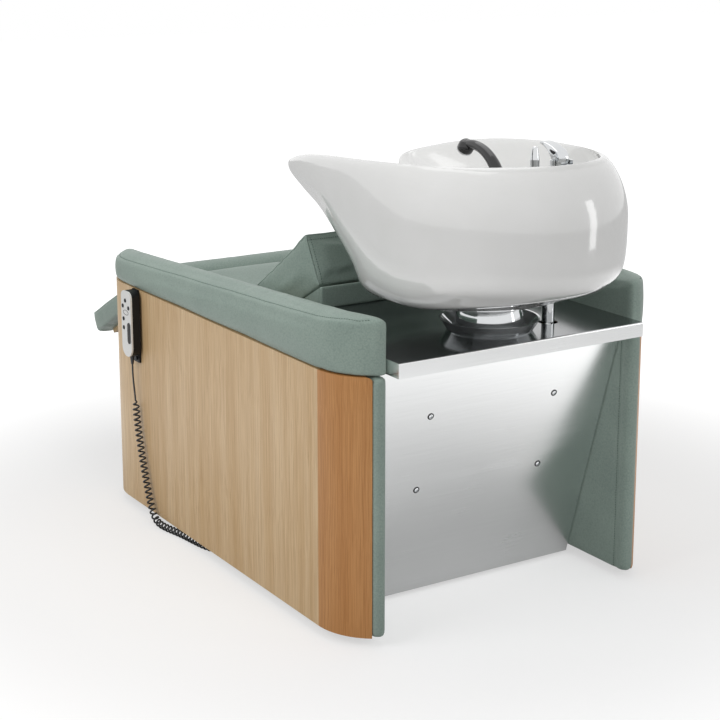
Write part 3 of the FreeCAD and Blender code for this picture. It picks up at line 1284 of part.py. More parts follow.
def make_control_box():
    """The box stands against the front of the middle cross tube."""
    rear, far = "-tube_side / 2", "box_x + box_wide"
    front = f"{rear} - box_deep"
    corners = [("box_x", front), (far, front), (far, rear), ("box_x", rear)]
    body = prism("XY_Plane", corners, "box_tall", z="box_low")
    tall = value("box_tall")
    rounded(body, "box_round", lambda edge, middle: 0 < middle.z < tall)
    gland = bar("gland_radius", "gland_long", "box_x + box_wide", "gland_y", "gland_z", "x")
    done(fuse(body, gland), "control_box")


# The cord's route: out of the hand control, down the panel, along the floor under its edge, under the
# rail and up into the control box. The curls lie between two of its points.
CORD_ROUTE = (
    (404.9, -370, 371), (404.9, -370, 352), (404, -370, 331), (403, -368, 312),
    (402, -366, 290), (402, -361, 240), (402, -346, 180), (402, -325, 115), (402, -308, 70), (402, -296, 44),
    (402, -280, 22), (402, -258, 11), (399, -226, 9.7), (391, -190, 9.7), (384, -150, 9.7), (380, -110, 9.7),
    (374, -72, 9.7), (364, -46, 9.7), (346, -34, 9.7),
    (328, -30, 9), (308, -32, 8), (288, -38, 9), (269, -44, 14), (251, -51, 23), (235, -58, 32),
    (220, -62, 38), (206, -62, 38),
)
CURLS_FROM, CURLS_TO = 4, 18


def spine_curve():
    """The route as a smooth curve, with its points as control points."""
    poles = [Vector(*point) for point in CORD_ROUTE]
    curve = Part.BSplineCurve()
    spans = len(poles) - 2
    curve.buildFromPolesMultsKnots(poles, [3] + [1] * (spans - 1) + [3], list(range(spans + 1)), False, 2)
    return curve


def biarc(start, start_way, end, end_way):
    """Two tangent arcs from one place and direction to another."""
    run = end - start
    sum_way = start_way + end_way
    a = 2 * (1 - start_way.dot(end_way))
    b = 2 * run.dot(sum_way)
    c = -run.dot(run)
    if abs(a) < 1e-9:
        reach = -c / b
    else:
        reach = (-b + math.sqrt(b * b - 4 * a * c)) / (2 * a)
    join = (start + end + (start_way - end_way) * reach) * 0.5
    return arc_to(start, start_way, join) + arc_to(end, end_way * -1, join)


def arc_to(start, way, end):
    """The arc that leaves a place in a direction and passes another, as an edge and its radius."""
    run = end - start
    along = run.dot(way)
    off = run - way * along
    if off.Length < 1e-6 * run.Length:
        return [(Part.LineSegment(start, end).toShape(), float("inf"))]
    side = off.normalize()
    radius = run.dot(run) / (2 * run.dot(side))
    angle = 2 * math.atan2(run.dot(side), along)
    middle = start + way * (radius * math.sin(angle / 2)) + side * (radius * (1 - math.cos(angle / 2)))
    return [(Part.Arc(start, middle, end).toShape(), radius)]


def make_cord():
    """A plain lead, curls and a plain lead: one unbroken tube on biarcs."""
    wire, curl, count = value("wire_radius"), value("curl_radius"), int(value("curl_count"))
    curve = spine_curve()
    whole = curve.length()
    first, last = [curve.length(0, point - 0.5) for point in (CURLS_FROM, CURLS_TO)]
    ramp = value("curl_ramp")

    # Normals are carried along the route without twist, a millimetre at a time.
    normals = [Vector(1, 0, 0)]
    for step in range(1, int(whole) + 2):
        way = Vector(*curve.tangent(curve.parameterAtDistance(min(step, whole), 0))[0])
        normals.append((normals[-1] - way * normals[-1].dot(way)).normalize())

    def wire_at(along):
        along = min(max(along, 0), whole)
        at = curve.parameterAtDistance(along, 0)
        way = Vector(*curve.tangent(at)[0])
        step = int(along)
        normal = normals[step] + (normals[step + 1] - normals[step]) * (along - step)
        normal = (normal - way * normal.dot(way)).normalize()
        turns = count * min(max((along - first) / (last - first), 0), 1)
        share = min(turns, count - turns, ramp) / ramp
        swell = curl * share * share * (3 - 2 * share)
        angle = 2 * math.pi * turns
        return curve.value(at) + (normal * math.cos(angle) + way.cross(normal) * math.sin(angle)) * swell

    steps, near = int(value("lead_steps")), value("way_step")
    quarters = 4 * count
    marks = [first * step / steps for step in range(steps)]
    marks += [first + (last - first) * step / quarters for step in range(quarters)]
    marks += [last + (whole - last) * step / steps for step in range(steps + 1)]
    points = [wire_at(mark) for mark in marks]
    ways = [(wire_at(mark + near) - wire_at(mark - near)).normalize() for mark in marks]
    edges, radii = [], []
    for index in range(len(marks) - 1):
        there, back = biarc(points[index], ways[index], points[index + 1], ways[index + 1])
        edges += [there[0], back[0]]
        radii += [there[1], back[1]]
    path = Part.Wire(Part.__sortEdges__(edges))

    sides = int(value("curl_sides"))
    across_way = ways[0].cross(Vector(0, 1, 0)).normalize()
    other_way = ways[0].cross(across_way)
    rim = []
    for side in range(sides + 1):
        angle = 2 * math.pi * side / sides
        rim.append(points[0] + (across_way * math.cos(angle) + other_way * math.sin(angle)) * wire)
    pipe = Part.BRepOffsetAPI.MakePipeShell(path)
    pipe.add(Part.makePolygon(rim))
    pipe.build()
    pipe.makeSolid()
    solid = pipe.shape()
    done(feature(solid), "curly_cord")

    section = sides / 2 * wire ** 2 * math.sin(2 * math.pi / sides)
    dense, reached = [], []
    run = 0
    for edge in edges:
        for step, point in enumerate(edge.discretize(3)[:2]):
            dense.append(point)
            reached.append(run + edge.Length * step / 2)
        run += edge.Length
    half_turn = math.pi * curl
    gap = min((dense[a] - dense[b]).Length for a in range(len(dense)) for b in range(a)
              if reached[a] - reached[b] > half_turn)
    print("cord length", round(path.Length), "route", round(whole), "least radius", round(min(radii), 2),
          "least gap to itself", round(gap - 2 * wire, 2),
          "volume over section", round(solid.Volume / (section * path.Length), 4))


def write_all():
    doc.recompute()
    for item in doc.Objects:
        if "Invalid" in item.State or "Error" in item.State:
            raise RuntimeError(f"{item.Name} ({item.Label}) failed: {item.State}")
    os.makedirs("parts", exist_ok=True)
    for item in finished:
        if item.Shape.isNull() or not item.Shape.isValid():
            raise RuntimeError(f"{item.Label} has no sound shape")
    for item in finished:
        item.Shape.exportStep(f"parts/{item.Label}.step")
    print(len(finished), "sub-parts written")


make_side_panels()
make_arm_pads()
make_frame()
make_shelf()
make_rear_cover()
make_seat_support()
make_cushions()
make_leg_rest()
make_actuator()
make_tilt()
make_basin()
make_drain()
make_taps()
make_shower()
make_hand_control()
make_control_box()
make_cord()
write_all()
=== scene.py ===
"""Salon backwash unit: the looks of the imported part, in the part's own frame, in metres."""
import json
import math

import bpy
import numpy as np
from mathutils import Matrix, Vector
from mathutils.bvhtree import BVHTree


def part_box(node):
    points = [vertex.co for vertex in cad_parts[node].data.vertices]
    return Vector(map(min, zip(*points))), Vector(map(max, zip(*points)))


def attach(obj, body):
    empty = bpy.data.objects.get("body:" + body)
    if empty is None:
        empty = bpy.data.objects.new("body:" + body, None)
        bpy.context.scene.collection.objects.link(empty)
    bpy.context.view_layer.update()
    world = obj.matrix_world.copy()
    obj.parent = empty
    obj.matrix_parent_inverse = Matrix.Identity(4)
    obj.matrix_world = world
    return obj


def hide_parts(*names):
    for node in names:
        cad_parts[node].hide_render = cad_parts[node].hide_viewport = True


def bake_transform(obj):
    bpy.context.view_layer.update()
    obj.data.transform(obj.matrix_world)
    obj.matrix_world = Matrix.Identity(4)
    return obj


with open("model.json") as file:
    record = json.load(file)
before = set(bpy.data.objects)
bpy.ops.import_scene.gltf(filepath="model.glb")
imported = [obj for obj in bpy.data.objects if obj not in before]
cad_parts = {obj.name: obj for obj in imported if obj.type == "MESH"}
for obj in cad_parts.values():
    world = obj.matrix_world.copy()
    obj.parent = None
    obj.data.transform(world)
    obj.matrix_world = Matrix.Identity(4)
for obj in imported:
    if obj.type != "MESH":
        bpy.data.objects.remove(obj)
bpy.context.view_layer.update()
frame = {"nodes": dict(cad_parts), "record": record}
scene = bpy.context.scene
MM = 0.001


# Camera: the photograph's place, a little above the basin's rim, behind the client's left shoulder.
def add_camera():
    data = bpy.data.cameras.new("camera")
    data.sensor_width = 36
    data.lens = 83.73
    data.shift_y = -0.1
    camera = bpy.data.objects.new("camera", data)
    pitch, yaw = 12.873, 32.292
    camera.location = (1.9786, 3.1196, 1.4199)
    camera.rotation_euler = (math.radians(90 - pitch), 0, math.radians(180 - yaw))
    scene.collection.objects.link(camera)
    scene.camera = camera


# Meshes.
def link(name, mesh):
    piece = bpy.data.objects.new(name, mesh)
    scene.collection.objects.link(piece)
    return piece


def solid_mesh(name, points, faces, smooth=True):
    mesh = bpy.data.meshes.new(name)
    mesh.from_pydata([tuple(p) for p in points], [], faces)
    mesh.validate()
    if smooth:
        mesh.shade_smooth()
    return mesh


def round_angles(turns):
    return [2 * math.pi * k / turns for k in range(turns)]


def ring_bands(rings, turns, flipped=False):
    """The faces between rings of points that follow one another."""
    faces = []
    for ring in range(rings - 1):
        for k in range(turns):
            a, b = ring * turns + k, ring * turns + (k + 1) % turns
            faces.append((a, a + turns, b + turns, b) if flipped else (a, b, b + turns, a + turns))
    return faces


def ring_faces(rings, turns, flipped=False):
    """The faces of a closed piece through rings of points: its bands and both its ends."""
    start, end = tuple(range(turns)), tuple(range((rings - 1) * turns, rings * turns))
    ends = [start, end[::-1]] if flipped else [start[::-1], end]
    return ring_bands(rings, turns, flipped) + ends


def settle(piece):
    """Makes a piece's modifiers part of its mesh."""
    graph = bpy.context.evaluated_depsgraph_get()
    mesh = bpy.data.meshes.new_from_object(piece.evaluated_get(graph))
    piece.modifiers.clear()
    piece.data = mesh
    return piece


def triples(items, key):
    """One vector of each of a mesh's items, as rows."""
    flat = np.zeros(len(items) * 3)
    items.foreach_get(key, flat)
    return flat.reshape(-1, 3)


def points_of(mesh):
    return triples(mesh.vertices, "co")


def normals_of(mesh):
    return triples(mesh.vertex_normals, "vector")


def move_points(mesh, points):
    mesh.vertices.foreach_set("co", np.asarray(points, float).ravel())
    mesh.update()


def mirrored(piece, name):
    """The same piece for the other side of the unit."""
    mesh = piece.data.copy()
    move_points(mesh, points_of(mesh) * (-1, 1, 1))
    mesh.flip_normals()
    return link(name, mesh)


# Colours and finishes.
def linear(code):
    """An sRGB hex colour as linear light."""
    parts = [int(code[i:i + 2], 16) / 255 for i in (0, 2, 4)]
    return [p / 12.92 if p <= 0.04045 else ((p + 0.055) / 1.055) ** 2.4 for p in parts] + [1]


def add(tree, kind, inputs=None, tones=(), **settings):
    """Adds a node with its settings, its sockets' values, the links that feed them and its ramp's tones."""
    made = tree.nodes.new(kind)
    for key, setting in settings.items():
        setattr(made, key, setting)
    for key, value in (inputs or {}).items():
        if isinstance(value, bpy.types.NodeSocket):
            tree.links.new(value, made.inputs[key])
        else:
            made.inputs[key].default_value = value
    for number, (position, code) in enumerate(tones):
        stop = made.color_ramp.elements[number]
        stop.position, stop.color = position, linear(code)
    return made


def per(size_mm):
    """A texture's scale for a feature of that size, in object space in metres."""
    return 1000 / size_mm


def new_finish(name):
    """A finish with an empty node tree, and the place of a point on the piece."""
    finish = bpy.data.materials.new(name)
    finish.use_nodes = True
    tree = finish.node_tree
    tree.nodes.clear()
    return finish, tree, add(tree, "ShaderNodeTexCoord").outputs["Object"]


def shaded(finish, **sockets):
    """Gives a finish its shader, with its sockets' values and the links that feed them."""
    tree = finish.node_tree
    shader = add(tree, "ShaderNodeBsdfPrincipled", {k.replace("_", " "): v for k, v in sockets.items()})
    add(tree, "ShaderNodeOutputMaterial", {"Surface": shader.outputs[0]})
    return finish


def leatherette():
    """Coated cloth, embossed with a fine leather grain: a soft sheen that breaks up on the grain."""
    finish, tree, place = new_finish("leatherette")
    # The grain is about a millimetre and a half, drawn at three so that it shows.
    grain = add(tree, "ShaderNodeTexVoronoi", {"Vector": place, "Scale": per(3), "Randomness": 1},
                feature="SMOOTH_F1")
    folds = add(tree, "ShaderNodeTexNoise", {"Vector": place, "Scale": per(7), "Detail": 4, "Roughness": 0.6})
    cloud = add(tree, "ShaderNodeTexNoise", {"Vector": place, "Scale": per(110), "Detail": 3})
    tone = add(tree, "ShaderNodeValToRGB", {"Fac": cloud.outputs["Fac"]}, ((0.3, "94A59C"), (0.7, "9FB0A6")))
    fleck = add(tree, "ShaderNodeMapRange", {
        "Value": grain.outputs["Distance"], "From Min": 0.1, "From Max": 0.75, "To Min": 0.0, "To Max": 0.34})
    skin = add(tree, "ShaderNodeMix", {0: fleck.outputs[0], 6: tone.outputs["Color"], 7: linear("62736B")},
               data_type="RGBA")
    gloss = add(tree, "ShaderNodeMapRange", {
        "Value": folds.outputs["Fac"], "From Min": 0.3, "From Max": 0.7, "To Min": 0.40, "To Max": 0.54})
    relief = add(tree, "ShaderNodeMath", {0: grain.outputs["Distance"], 1: folds.outputs["Fac"]},
                 operation="ADD")
    bump = add(tree, "ShaderNodeBump", {"Height": relief.outputs[0], "Strength": 0.16, "Distance": 0.6 * MM})
    return shaded(finish, Base_Color=skin.outputs[2], Roughness=gloss.outputs[0], Normal=bump.outputs[0],
                  Specular_IOR_Level=0.42, Sheen_Weight=0.10, Sheen_Roughness=0.45,
                  Sheen_Tint=linear("DCE8E2"))


# Where the panels' rear bends start, along the unit.
LEAF_JOINT = 0.4512


def oak_veneer():
    """Straight-grained oak, sliced thin, laid upright and lacquered satin: fine pores, slow tone changes."""
    finish, tree, place = new_finish("oak_veneer")
    # Upright grain: pores of two millimetres by a quarter of a metre, bands of four centimetres.
    waver = add(tree, "ShaderNodeTexNoise", {"Vector": place, "Scale": per(260), "Detail": 2})
    bent = add(tree, "ShaderNodeVectorMath", {0: waver.outputs["Color"], 1: (14 * MM, 14 * MM, 0)},
               operation="MULTIPLY")
    drift = add(tree, "ShaderNodeVectorMath", {0: place, 1: bent.outputs[0]}, operation="ADD")
    fine = add(tree, "ShaderNodeMapping", {"Vector": drift.outputs[0], "Scale": (per(2), per(2), per(250))})
    pores = add(tree, "ShaderNodeTexNoise", {
        "Vector": fine.outputs[0], "Scale": 1, "Detail": 5, "Roughness": 0.65})
    broad = add(tree, "ShaderNodeMapping", {
        "Vector": drift.outputs[0], "Scale": (per(42), per(42), per(900))})
    years = add(tree, "ShaderNodeTexNoise", {
        "Vector": broad.outputs[0], "Scale": 1, "Detail": 4, "Roughness": 0.55})
    tone = add(tree, "ShaderNodeValToRGB", {"Fac": years.outputs["Fac"]}, ((0.3, "D8B584"), (0.72, "EDD1A8")))
    streak = add(tree, "ShaderNodeMapRange", {
        "Value": pores.outputs["Fac"], "From Min": 0.40, "From Max": 0.72, "To Min": 0.0, "To Max": 0.75})
    wood = add(tree, "ShaderNodeMix", {0: streak.outputs[0], 6: tone.outputs["Color"], 7: linear("B08858")},
               data_type="RGBA")
    # The bent rear end is its own, warmer leaf, butted where the bend starts; its darker tone is partly
    # painted shade, as the bend turns from the light.
    apart = add(tree, "ShaderNodeSeparateXYZ", {0: place})
    end_leaf_and_shade = add(tree, "ShaderNodeMapRange", {
        "Value": apart.outputs["Y"], "From Min": LEAF_JOINT, "From Max": LEAF_JOINT + MM, "To Max": 0.85})
    warm_leaf_and_shade = add(tree, "ShaderNodeMix", {0: end_leaf_and_shade.outputs[0], 6: wood.outputs[2], 7: linear("E0B27E")},
               data_type="RGBA", blend_type="MULTIPLY")
    gloss = add(tree, "ShaderNodeMapRange", {"Value": pores.outputs["Fac"], "To Min": 0.36, "To Max": 0.52})
    bump = add(tree, "ShaderNodeBump", {
        "Height": pores.outputs["Fac"], "Strength": 0.10, "Distance": 0.3 * MM}, invert=True)
    return shaded(finish, Base_Color=warm_leaf_and_shade.outputs[2], Roughness=gloss.outputs[0], Normal=bump.outputs[0],
                  Specular_IOR_Level=0.4, Coat_Weight=0.12, Coat_Roughness=0.3)


def birch_plywood():
    """Raw birch plywood, peeled and sanded: pale, with a faint grain across the unit."""
    finish, tree, place = new_finish("birch_plywood")
    long_way = add(tree, "ShaderNodeMapping", {"Vector": place, "Scale": (per(220), per(5), per(5))})
    grain = add(tree, "ShaderNodeTexNoise", {"Vector": long_way.outputs[0], "Scale": 1, "Detail": 5})
    tone = add(tree, "ShaderNodeValToRGB", {"Fac": grain.outputs["Fac"]}, ((0.3, "B99A6F"), (0.75, "D9C09A")))
    gloss = add(tree, "ShaderNodeMapRange", {"Value": grain.outputs["Fac"], "To Min": 0.5, "To Max": 0.7})
    bump = add(tree, "ShaderNodeBump", {
        "Height": grain.outputs["Fac"], "Strength": 0.12, "Distance": 0.3 * MM})
    return shaded(finish, Base_Color=tone.outputs["Color"], Roughness=gloss.outputs[0],
                  Normal=bump.outputs[0], Specular_IOR_Level=0.3)


def brushed_steel():
    """Stainless sheet, ground along the unit's width: hair-fine scratches that draw out its reflections."""
    finish, tree, place = new_finish("brushed_stainless")
    # Scratches are a few tenths of a millimetre apart, drawn at one so that they show.
    drawn = add(tree, "ShaderNodeMapping", {"Vector": place, "Scale": (per(240), per(1), per(1))})
    brush = add(tree, "ShaderNodeTexNoise", {
        "Vector": drawn.outputs[0], "Scale": 1, "Detail": 4, "Roughness": 0.7})
    cloud = add(tree, "ShaderNodeTexNoise", {"Vector": place, "Scale": per(140), "Detail": 3})
    tone = add(tree, "ShaderNodeValToRGB", {"Fac": brush.outputs["Fac"]}, ((0.3, "EBECEC"), (0.7, "F3F4F4")))
    # The top of the shelf is painted darker than the upright faces, a painted reflection of the dark things
    # it mirrors, and is smoother.
    facing = add(tree, "ShaderNodeSeparateXYZ", {0: add(tree, "ShaderNodeTexCoord").outputs["Normal"]})
    level = add(tree, "ShaderNodeMapRange", {"Value": facing.outputs["Z"], "From Min": 0.6, "From Max": 0.9})
    painted_dark_top = add(tree, "ShaderNodeMix", {0: level.outputs[0], 6: tone.outputs["Color"], 7: linear("9A9C9D")},
               data_type="RGBA")
    both = add(tree, "ShaderNodeMath", {0: brush.outputs["Fac"], 1: cloud.outputs["Fac"]},
               operation="MULTIPLY")
    gloss = add(tree, "ShaderNodeMapRange", {
        "Value": both.outputs[0], "From Min": 0.1, "From Max": 0.45, "To Min": 0.20, "To Max": 0.28})
    sheen = add(tree, "ShaderNodeMapRange", {"Value": level.outputs[0], "To Min": 1.0, "To Max": 0.55})
    rough = add(tree, "ShaderNodeMath", {0: gloss.outputs[0], 1: sheen.outputs[0]}, operation="MULTIPLY")
    bump = add(tree, "ShaderNodeBump", {
        "Height": brush.outputs["Fac"], "Strength": 0.02, "Distance": 0.1 * MM})
    return shaded(finish, Base_Color=painted_dark_top.outputs[2], Roughness=rough.outputs[0], Normal=bump.outputs[0],
                  Metallic=1, Anisotropic=0.45)


def chrome_plate():
    """Polished chrome: a bright mirror with the faintest haze of handling."""
    finish, tree, place = new_finish("chrome_plate")
    smear = add(tree, "ShaderNodeTexNoise", {
        "Vector": place, "Scale": per(18), "Detail": 5, "Roughness": 0.6})
    tone = add(tree, "ShaderNodeValToRGB", {"Fac": smear.outputs["Fac"]}, ((0, "D4D6D8"), (1, "E2E4E5")))
    gloss = add(tree, "ShaderNodeMapRange", {
        "Value": smear.outputs["Fac"], "From Min": 0.3, "From Max": 0.8, "To Min": 0.04, "To Max": 0.12})
    return shaded(finish, Base_Color=tone.outputs["Color"], Roughness=gloss.outputs[0], Metallic=1)


def glazed_ceramic():
    """White fireclay under a clear glaze: hard, bright reflections over a very slightly wavy surface."""
    finish, tree, place = new_finish("glazed_ceramic")
    wave = add(tree, "ShaderNodeTexNoise", {"Vector": place, "Scale": per(70), "Detail": 2})
    tone = add(tree, "ShaderNodeValToRGB", {"Fac": wave.outputs["Fac"]}, ((0, "EEEEEC"), (1, "F4F4F3")))
    gloss = add(tree, "ShaderNodeMapRange", {"Value": wave.outputs["Fac"], "To Min": 0.10, "To Max": 0.16})
    bump = add(tree, "ShaderNodeBump", {"Height": wave.outputs["Fac"], "Strength": 0.04, "Distance": 2 * MM})
    return shaded(finish, Base_Color=tone.outputs["Color"], Roughness=gloss.outputs[0],
                  Normal=bump.outputs[0], IOR=1.55, Coat_Weight=1.0, Coat_Roughness=0.03,
                  Specular_IOR_Level=0.5)


def speckled(name, dark, light, grit_mm, rough, relief, **sockets):
    """A moulded, coated or rubber surface: two near tones and a fine grit in its relief."""
    finish, tree, place = new_finish(name)
    grit = add(tree, "ShaderNodeTexNoise", {
        "Vector": place, "Scale": per(grit_mm), "Detail": 3, "Roughness": 0.6})
    tone = add(tree, "ShaderNodeValToRGB", {"Fac": grit.outputs["Fac"]}, ((0.3, dark), (0.7, light)))
    gloss = add(tree, "ShaderNodeMapRange", {
        "Value": grit.outputs["Fac"], "From Min": 0.3, "From Max": 0.7,
        "To Min": rough[0], "To Max": rough[1]})
    bump = add(tree, "ShaderNodeBump", {
        "Height": grit.outputs["Fac"], "Strength": relief, "Distance": 0.3 * MM})
    return shaded(finish, Base_Color=tone.outputs["Color"], Roughness=gloss.outputs[0],
                  Normal=bump.outputs[0], **sockets)


add_camera()

LEATHER = leatherette()
VENEER = oak_veneer()
PLYWOOD = birch_plywood()
STEEL = brushed_steel()
CHROME = chrome_plate()
CERAMIC = glazed_ceramic()
# Powder coat: baked epoxy with a fine orange-peel skin.
POWDER_COAT = speckled("black_powder_coat", "17181A", "1F2022", 1.6, (0.38, 0.5), 0.12)
# Levelling feet: moulded rubber, dull.
FOOT_RUBBER = speckled("foot_rubber", "141414", "1C1C1C", 2.2, (0.6, 0.75), 0.18)
# Hinge bushes: natural nylon, waxy.
NYLON = speckled("natural_nylon", "DCD8CB", "E6E3D8", 3, (0.36, 0.46), 0.04)
# Housings: black ABS from a spark-eroded mould, so a fine even grit.
ABS_BLACK = speckled("abs_black", "131314", "1B1B1D", 1.2, (0.34, 0.48), 0.12, Specular_IOR_Level=0.25)
ABS_WHITE = speckled("abs_white", "EFEFED", "F5F5F3", 1.6, (0.28, 0.38), 0.05)
# Buttons: dark grey silicone, soft to the touch.
SILICONE = speckled("grey_silicone", "1C1D1F", "262729", 1.4, (0.5, 0.6), 0.08, Specular_IOR_Level=0.15)
# Hand shower: lacquered black, nearly a mirror.
LACQUER = speckled("black_lacquer", "070708", "0C0C0D", 30, (0.06, 0.12), 0.01, Coat_Weight=0.6,
                   Coat_Roughness=0.04)
# Cord: extruded polyurethane, satin.
CORD_SKIN = speckled("polyurethane_cord", "2A2B2D", "37383A", 4, (0.34, 0.46), 0.05)
# Sewing thread: bonded polyester, a shade darker than the cover.
THREAD = speckled("polyester_thread", "40524A", "4E6158", 0.8, (0.5, 0.65), 0.3)

FINISHES = {
    "veneer": VENEER, "upholstery": LEATHER, "frame_paint": POWDER_COAT, "rubber_feet": FOOT_RUBBER,
    "stainless": STEEL, "chrome": CHROME, "plywood": PLYWOOD, "nylon": NYLON, "dark_plastic": ABS_BLACK,
    "white_plastic": ABS_WHITE, "button_grey": SILICONE, "gloss_black": LACQUER, "ceramic": CERAMIC,
    "cord_rubber": CORD_SKIN,
}


def coat(piece, finish):
    piece.data.materials.clear()
    piece.data.materials.append(finish)


def dressed(piece, finish, body):
    """Gives a piece its finish and the body that it moves with."""
    coat(piece, finish)
    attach(piece, body)


for subpart in frame["record"]["subparts"]:
    coat(frame["nodes"][subpart["node"]], FINISHES[subpart["material_slot"]])


# The hand control's cord: its route from the control's foot to the box under the seat, in millimetres.
CORD_ROUTE = (
    (404.9, -370, 371), (404.9, -370, 352), (404, -370, 331), (403, -368, 312),
    (402, -366, 290), (402, -361, 240), (402, -346, 180), (402, -325, 115), (402, -308, 70), (402, -296, 44),
    (402, -280, 22), (402, -258, 11), (399, -226, 9.7), (391, -190, 9.7), (384, -150, 9.7), (380, -110, 9.7),
    (374, -72, 9.7), (364, -46, 9.7), (346, -34, 9.7),
    (328, -30, 9), (308, -32, 8), (288, -38, 9), (269, -44, 14), (251, -51, 23), (235, -58, 32),
    (220, -62, 38), (206, -62, 38),
)
CURLS_FROM, CURLS_TO, CURLS, CURL_RADIUS, WIRE = 3.5, 17.5, 44, 6.9, 2.1


def smooth_line(name, points, order, steps):
    """A free line with those points as its control points."""
    data = bpy.data.curves.new(name, "CURVE")
    data.dimensions = "3D"
    spline = data.splines.new("NURBS")
    spline.points.add(len(points) - 1)
    for point, place in zip(spline.points, points):
        point.co = (*place, 1)
    spline.order_u = order
    spline.use_endpoint_u = True
    spline.resolution_u = steps
    return data


def read_line(data):
    """The points that a line with no bevel passes through."""
    probe = link("probe", data)
    bpy.context.view_layer.update()
    graph = bpy.context.evaluated_depsgraph_get()
    mesh = bpy.data.meshes.new_from_object(probe.evaluated_get(graph))
    points = points_of(mesh)
    bpy.data.objects.remove(probe)
    bpy.data.meshes.remove(mesh)
    return points


def round_tube(name, data, radius_mm):
    """A closed tube of that radius round a line, as a mesh."""
    data.bevel_depth = radius_mm * MM
    data.bevel_resolution = 3
    data.use_fill_caps = True
    line = link(name, data)
    bpy.context.view_layer.update()
    mesh = bpy.data.meshes.new_from_object(line.evaluated_get(bpy.context.evaluated_depsgraph_get()))
    bpy.data.objects.remove(line)
    mesh.shade_smooth()
    return link(name, mesh)


def make_cord():
    """A plain lead, then curls, then a plain lead, as one wire."""
    route = [[x * MM for x in place] for place in CORD_ROUTE]
    line = read_line(smooth_line("cord_route", route, 3, 24))
    runs = np.linalg.norm(np.diff(line, axis=0), axis=1)
    reach = np.concatenate([[0], np.cumsum(runs)])
    spans = len(route) - 2
    shares = np.linspace(0, 1, len(line))
    first, last = [np.interp(mark / spans, shares, reach) for mark in (CURLS_FROM, CURLS_TO)]

    # Normals are carried along the route without twist.
    ways = np.gradient(line, axis=0)
    ways /= np.linalg.norm(ways, axis=1)[:, None]
    normals = [np.array([1.0, 0, 0])]
    for way in ways[1:]:
        normal = normals[-1] - way * (normals[-1] @ way)
        normals.append(normal / np.linalg.norm(normal))
    normals = np.array(normals)

    per_turn, leads, ramp = 16, 14, 1.5
    marks = [first * step / leads for step in range(leads)]
    marks += [first + (last - first) * step / (CURLS * per_turn) for step in range(CURLS * per_turn)]
    marks += [last + (reach[-1] - last) * step / leads for step in range(leads + 1)]
    wire = []
    for mark in marks:
        at, way, normal = [np.array([np.interp(mark, reach, line_of[:, k]) for k in range(3)])
                           for line_of in (line, ways, normals)]
        turns = CURLS * min(max((mark - first) / (last - first), 0), 1)
        share = min(turns, CURLS - turns, ramp) / ramp
        swell = CURL_RADIUS * MM * share * share * (3 - 2 * share)
        angle = 2 * math.pi * turns
        wire.append(at + (normal * math.cos(angle) + np.cross(way, normal) * math.sin(angle)) * swell)

    path = read_line(smooth_line("cord_path", wire, 4, 3))
    cord = round_tube("handset_cord", smooth_line("cord_wire", wire, 4, 3), WIRE)
    coat(cord, CORD_SKIN)
    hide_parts("curly_cord")
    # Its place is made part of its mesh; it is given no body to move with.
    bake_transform(cord)


make_cord()


# Soft goods.
def even_skin(node, name, voxel_mm):
    """A piece of its own in a solid's shape, in an even skin."""
    piece = link(name, frame["nodes"][node].data.copy())
    remesh = piece.modifiers.new("skin", "REMESH")
    remesh.mode = "VOXEL"
    remesh.voxel_size = voxel_mm * MM
    settle(piece)
    return piece


def slimmed(piece, by_mm):
    """Draws the skin in before it is filled, because the filling swells it."""
    mesh = piece.data
    move_points(mesh, points_of(mesh) - normals_of(mesh) * by_mm * MM)


FILL_PRESSURE, FILL_STEPS, DRAWN_BACK = 4.0, 20, 0.2


def filled(piece, cap_mm, held=None):
    """Fills a sewn cover: cloth under pressure, held on its board, with each point's travel capped."""
    start, outward = points_of(piece.data), normals_of(piece.data)
    if held is not None:
        group = piece.vertex_groups.new(name="held")
        group.add([int(i) for i in np.nonzero(held(start))[0]], 1.0, "REPLACE")
    cloth = piece.modifiers.new("filling", "CLOTH")
    settings = cloth.settings
    settings.quality = 4
    settings.mass = 0.4
    settings.tension_stiffness = settings.compression_stiffness = 20
    settings.bending_stiffness = 2
    settings.use_pressure = True
    settings.uniform_pressure_force = FILL_PRESSURE
    settings.effector_weights.gravity = 0
    if held is not None:
        settings.vertex_group_mass = "held"
    cloth.point_cache.frame_start, cloth.point_cache.frame_end = 1, FILL_STEPS
    for step in range(1, FILL_STEPS + 1):
        scene.frame_set(step)
    settle(piece)
    scene.frame_set(1)
    piece.vertex_groups.clear()
    moved = points_of(piece.data) - start
    # Sewn edges hold their place on the foam, so little of what draws back there is kept.
    back = (moved * outward).sum(axis=1) < 0
    moved[back] *= DRAWN_BACK
    far = np.linalg.norm(moved, axis=1)
    scale = np.minimum(1, cap_mm * MM / np.maximum(far, 1e-9))
    move_points(piece.data, start + moved * scale[:, None])


def smoothed(piece, rounds):
    relax = piece.modifiers.new("smooth", "SMOOTH")
    relax.factor = 0.5
    relax.iterations = rounds
    settle(piece)


def refined(piece):
    finer = piece.modifiers.new("finer", "SUBSURF")
    finer.levels = finer.render_levels = 1
    settle(piece)
    piece.data.shade_smooth()


def along(points, pitch_mm):
    """Evenly spaced places on a line through those points."""
    points = np.asarray(points, float)
    reach = np.concatenate([[0], np.cumsum(np.linalg.norm(np.diff(points, axis=0), axis=1))])
    count = max(int(reach[-1] / (pitch_mm * MM)), 2)
    marks = np.linspace(0, reach[-1], count + 1)
    return np.stack([np.interp(marks, reach, points[:, k]) for k in range(3)], axis=1)


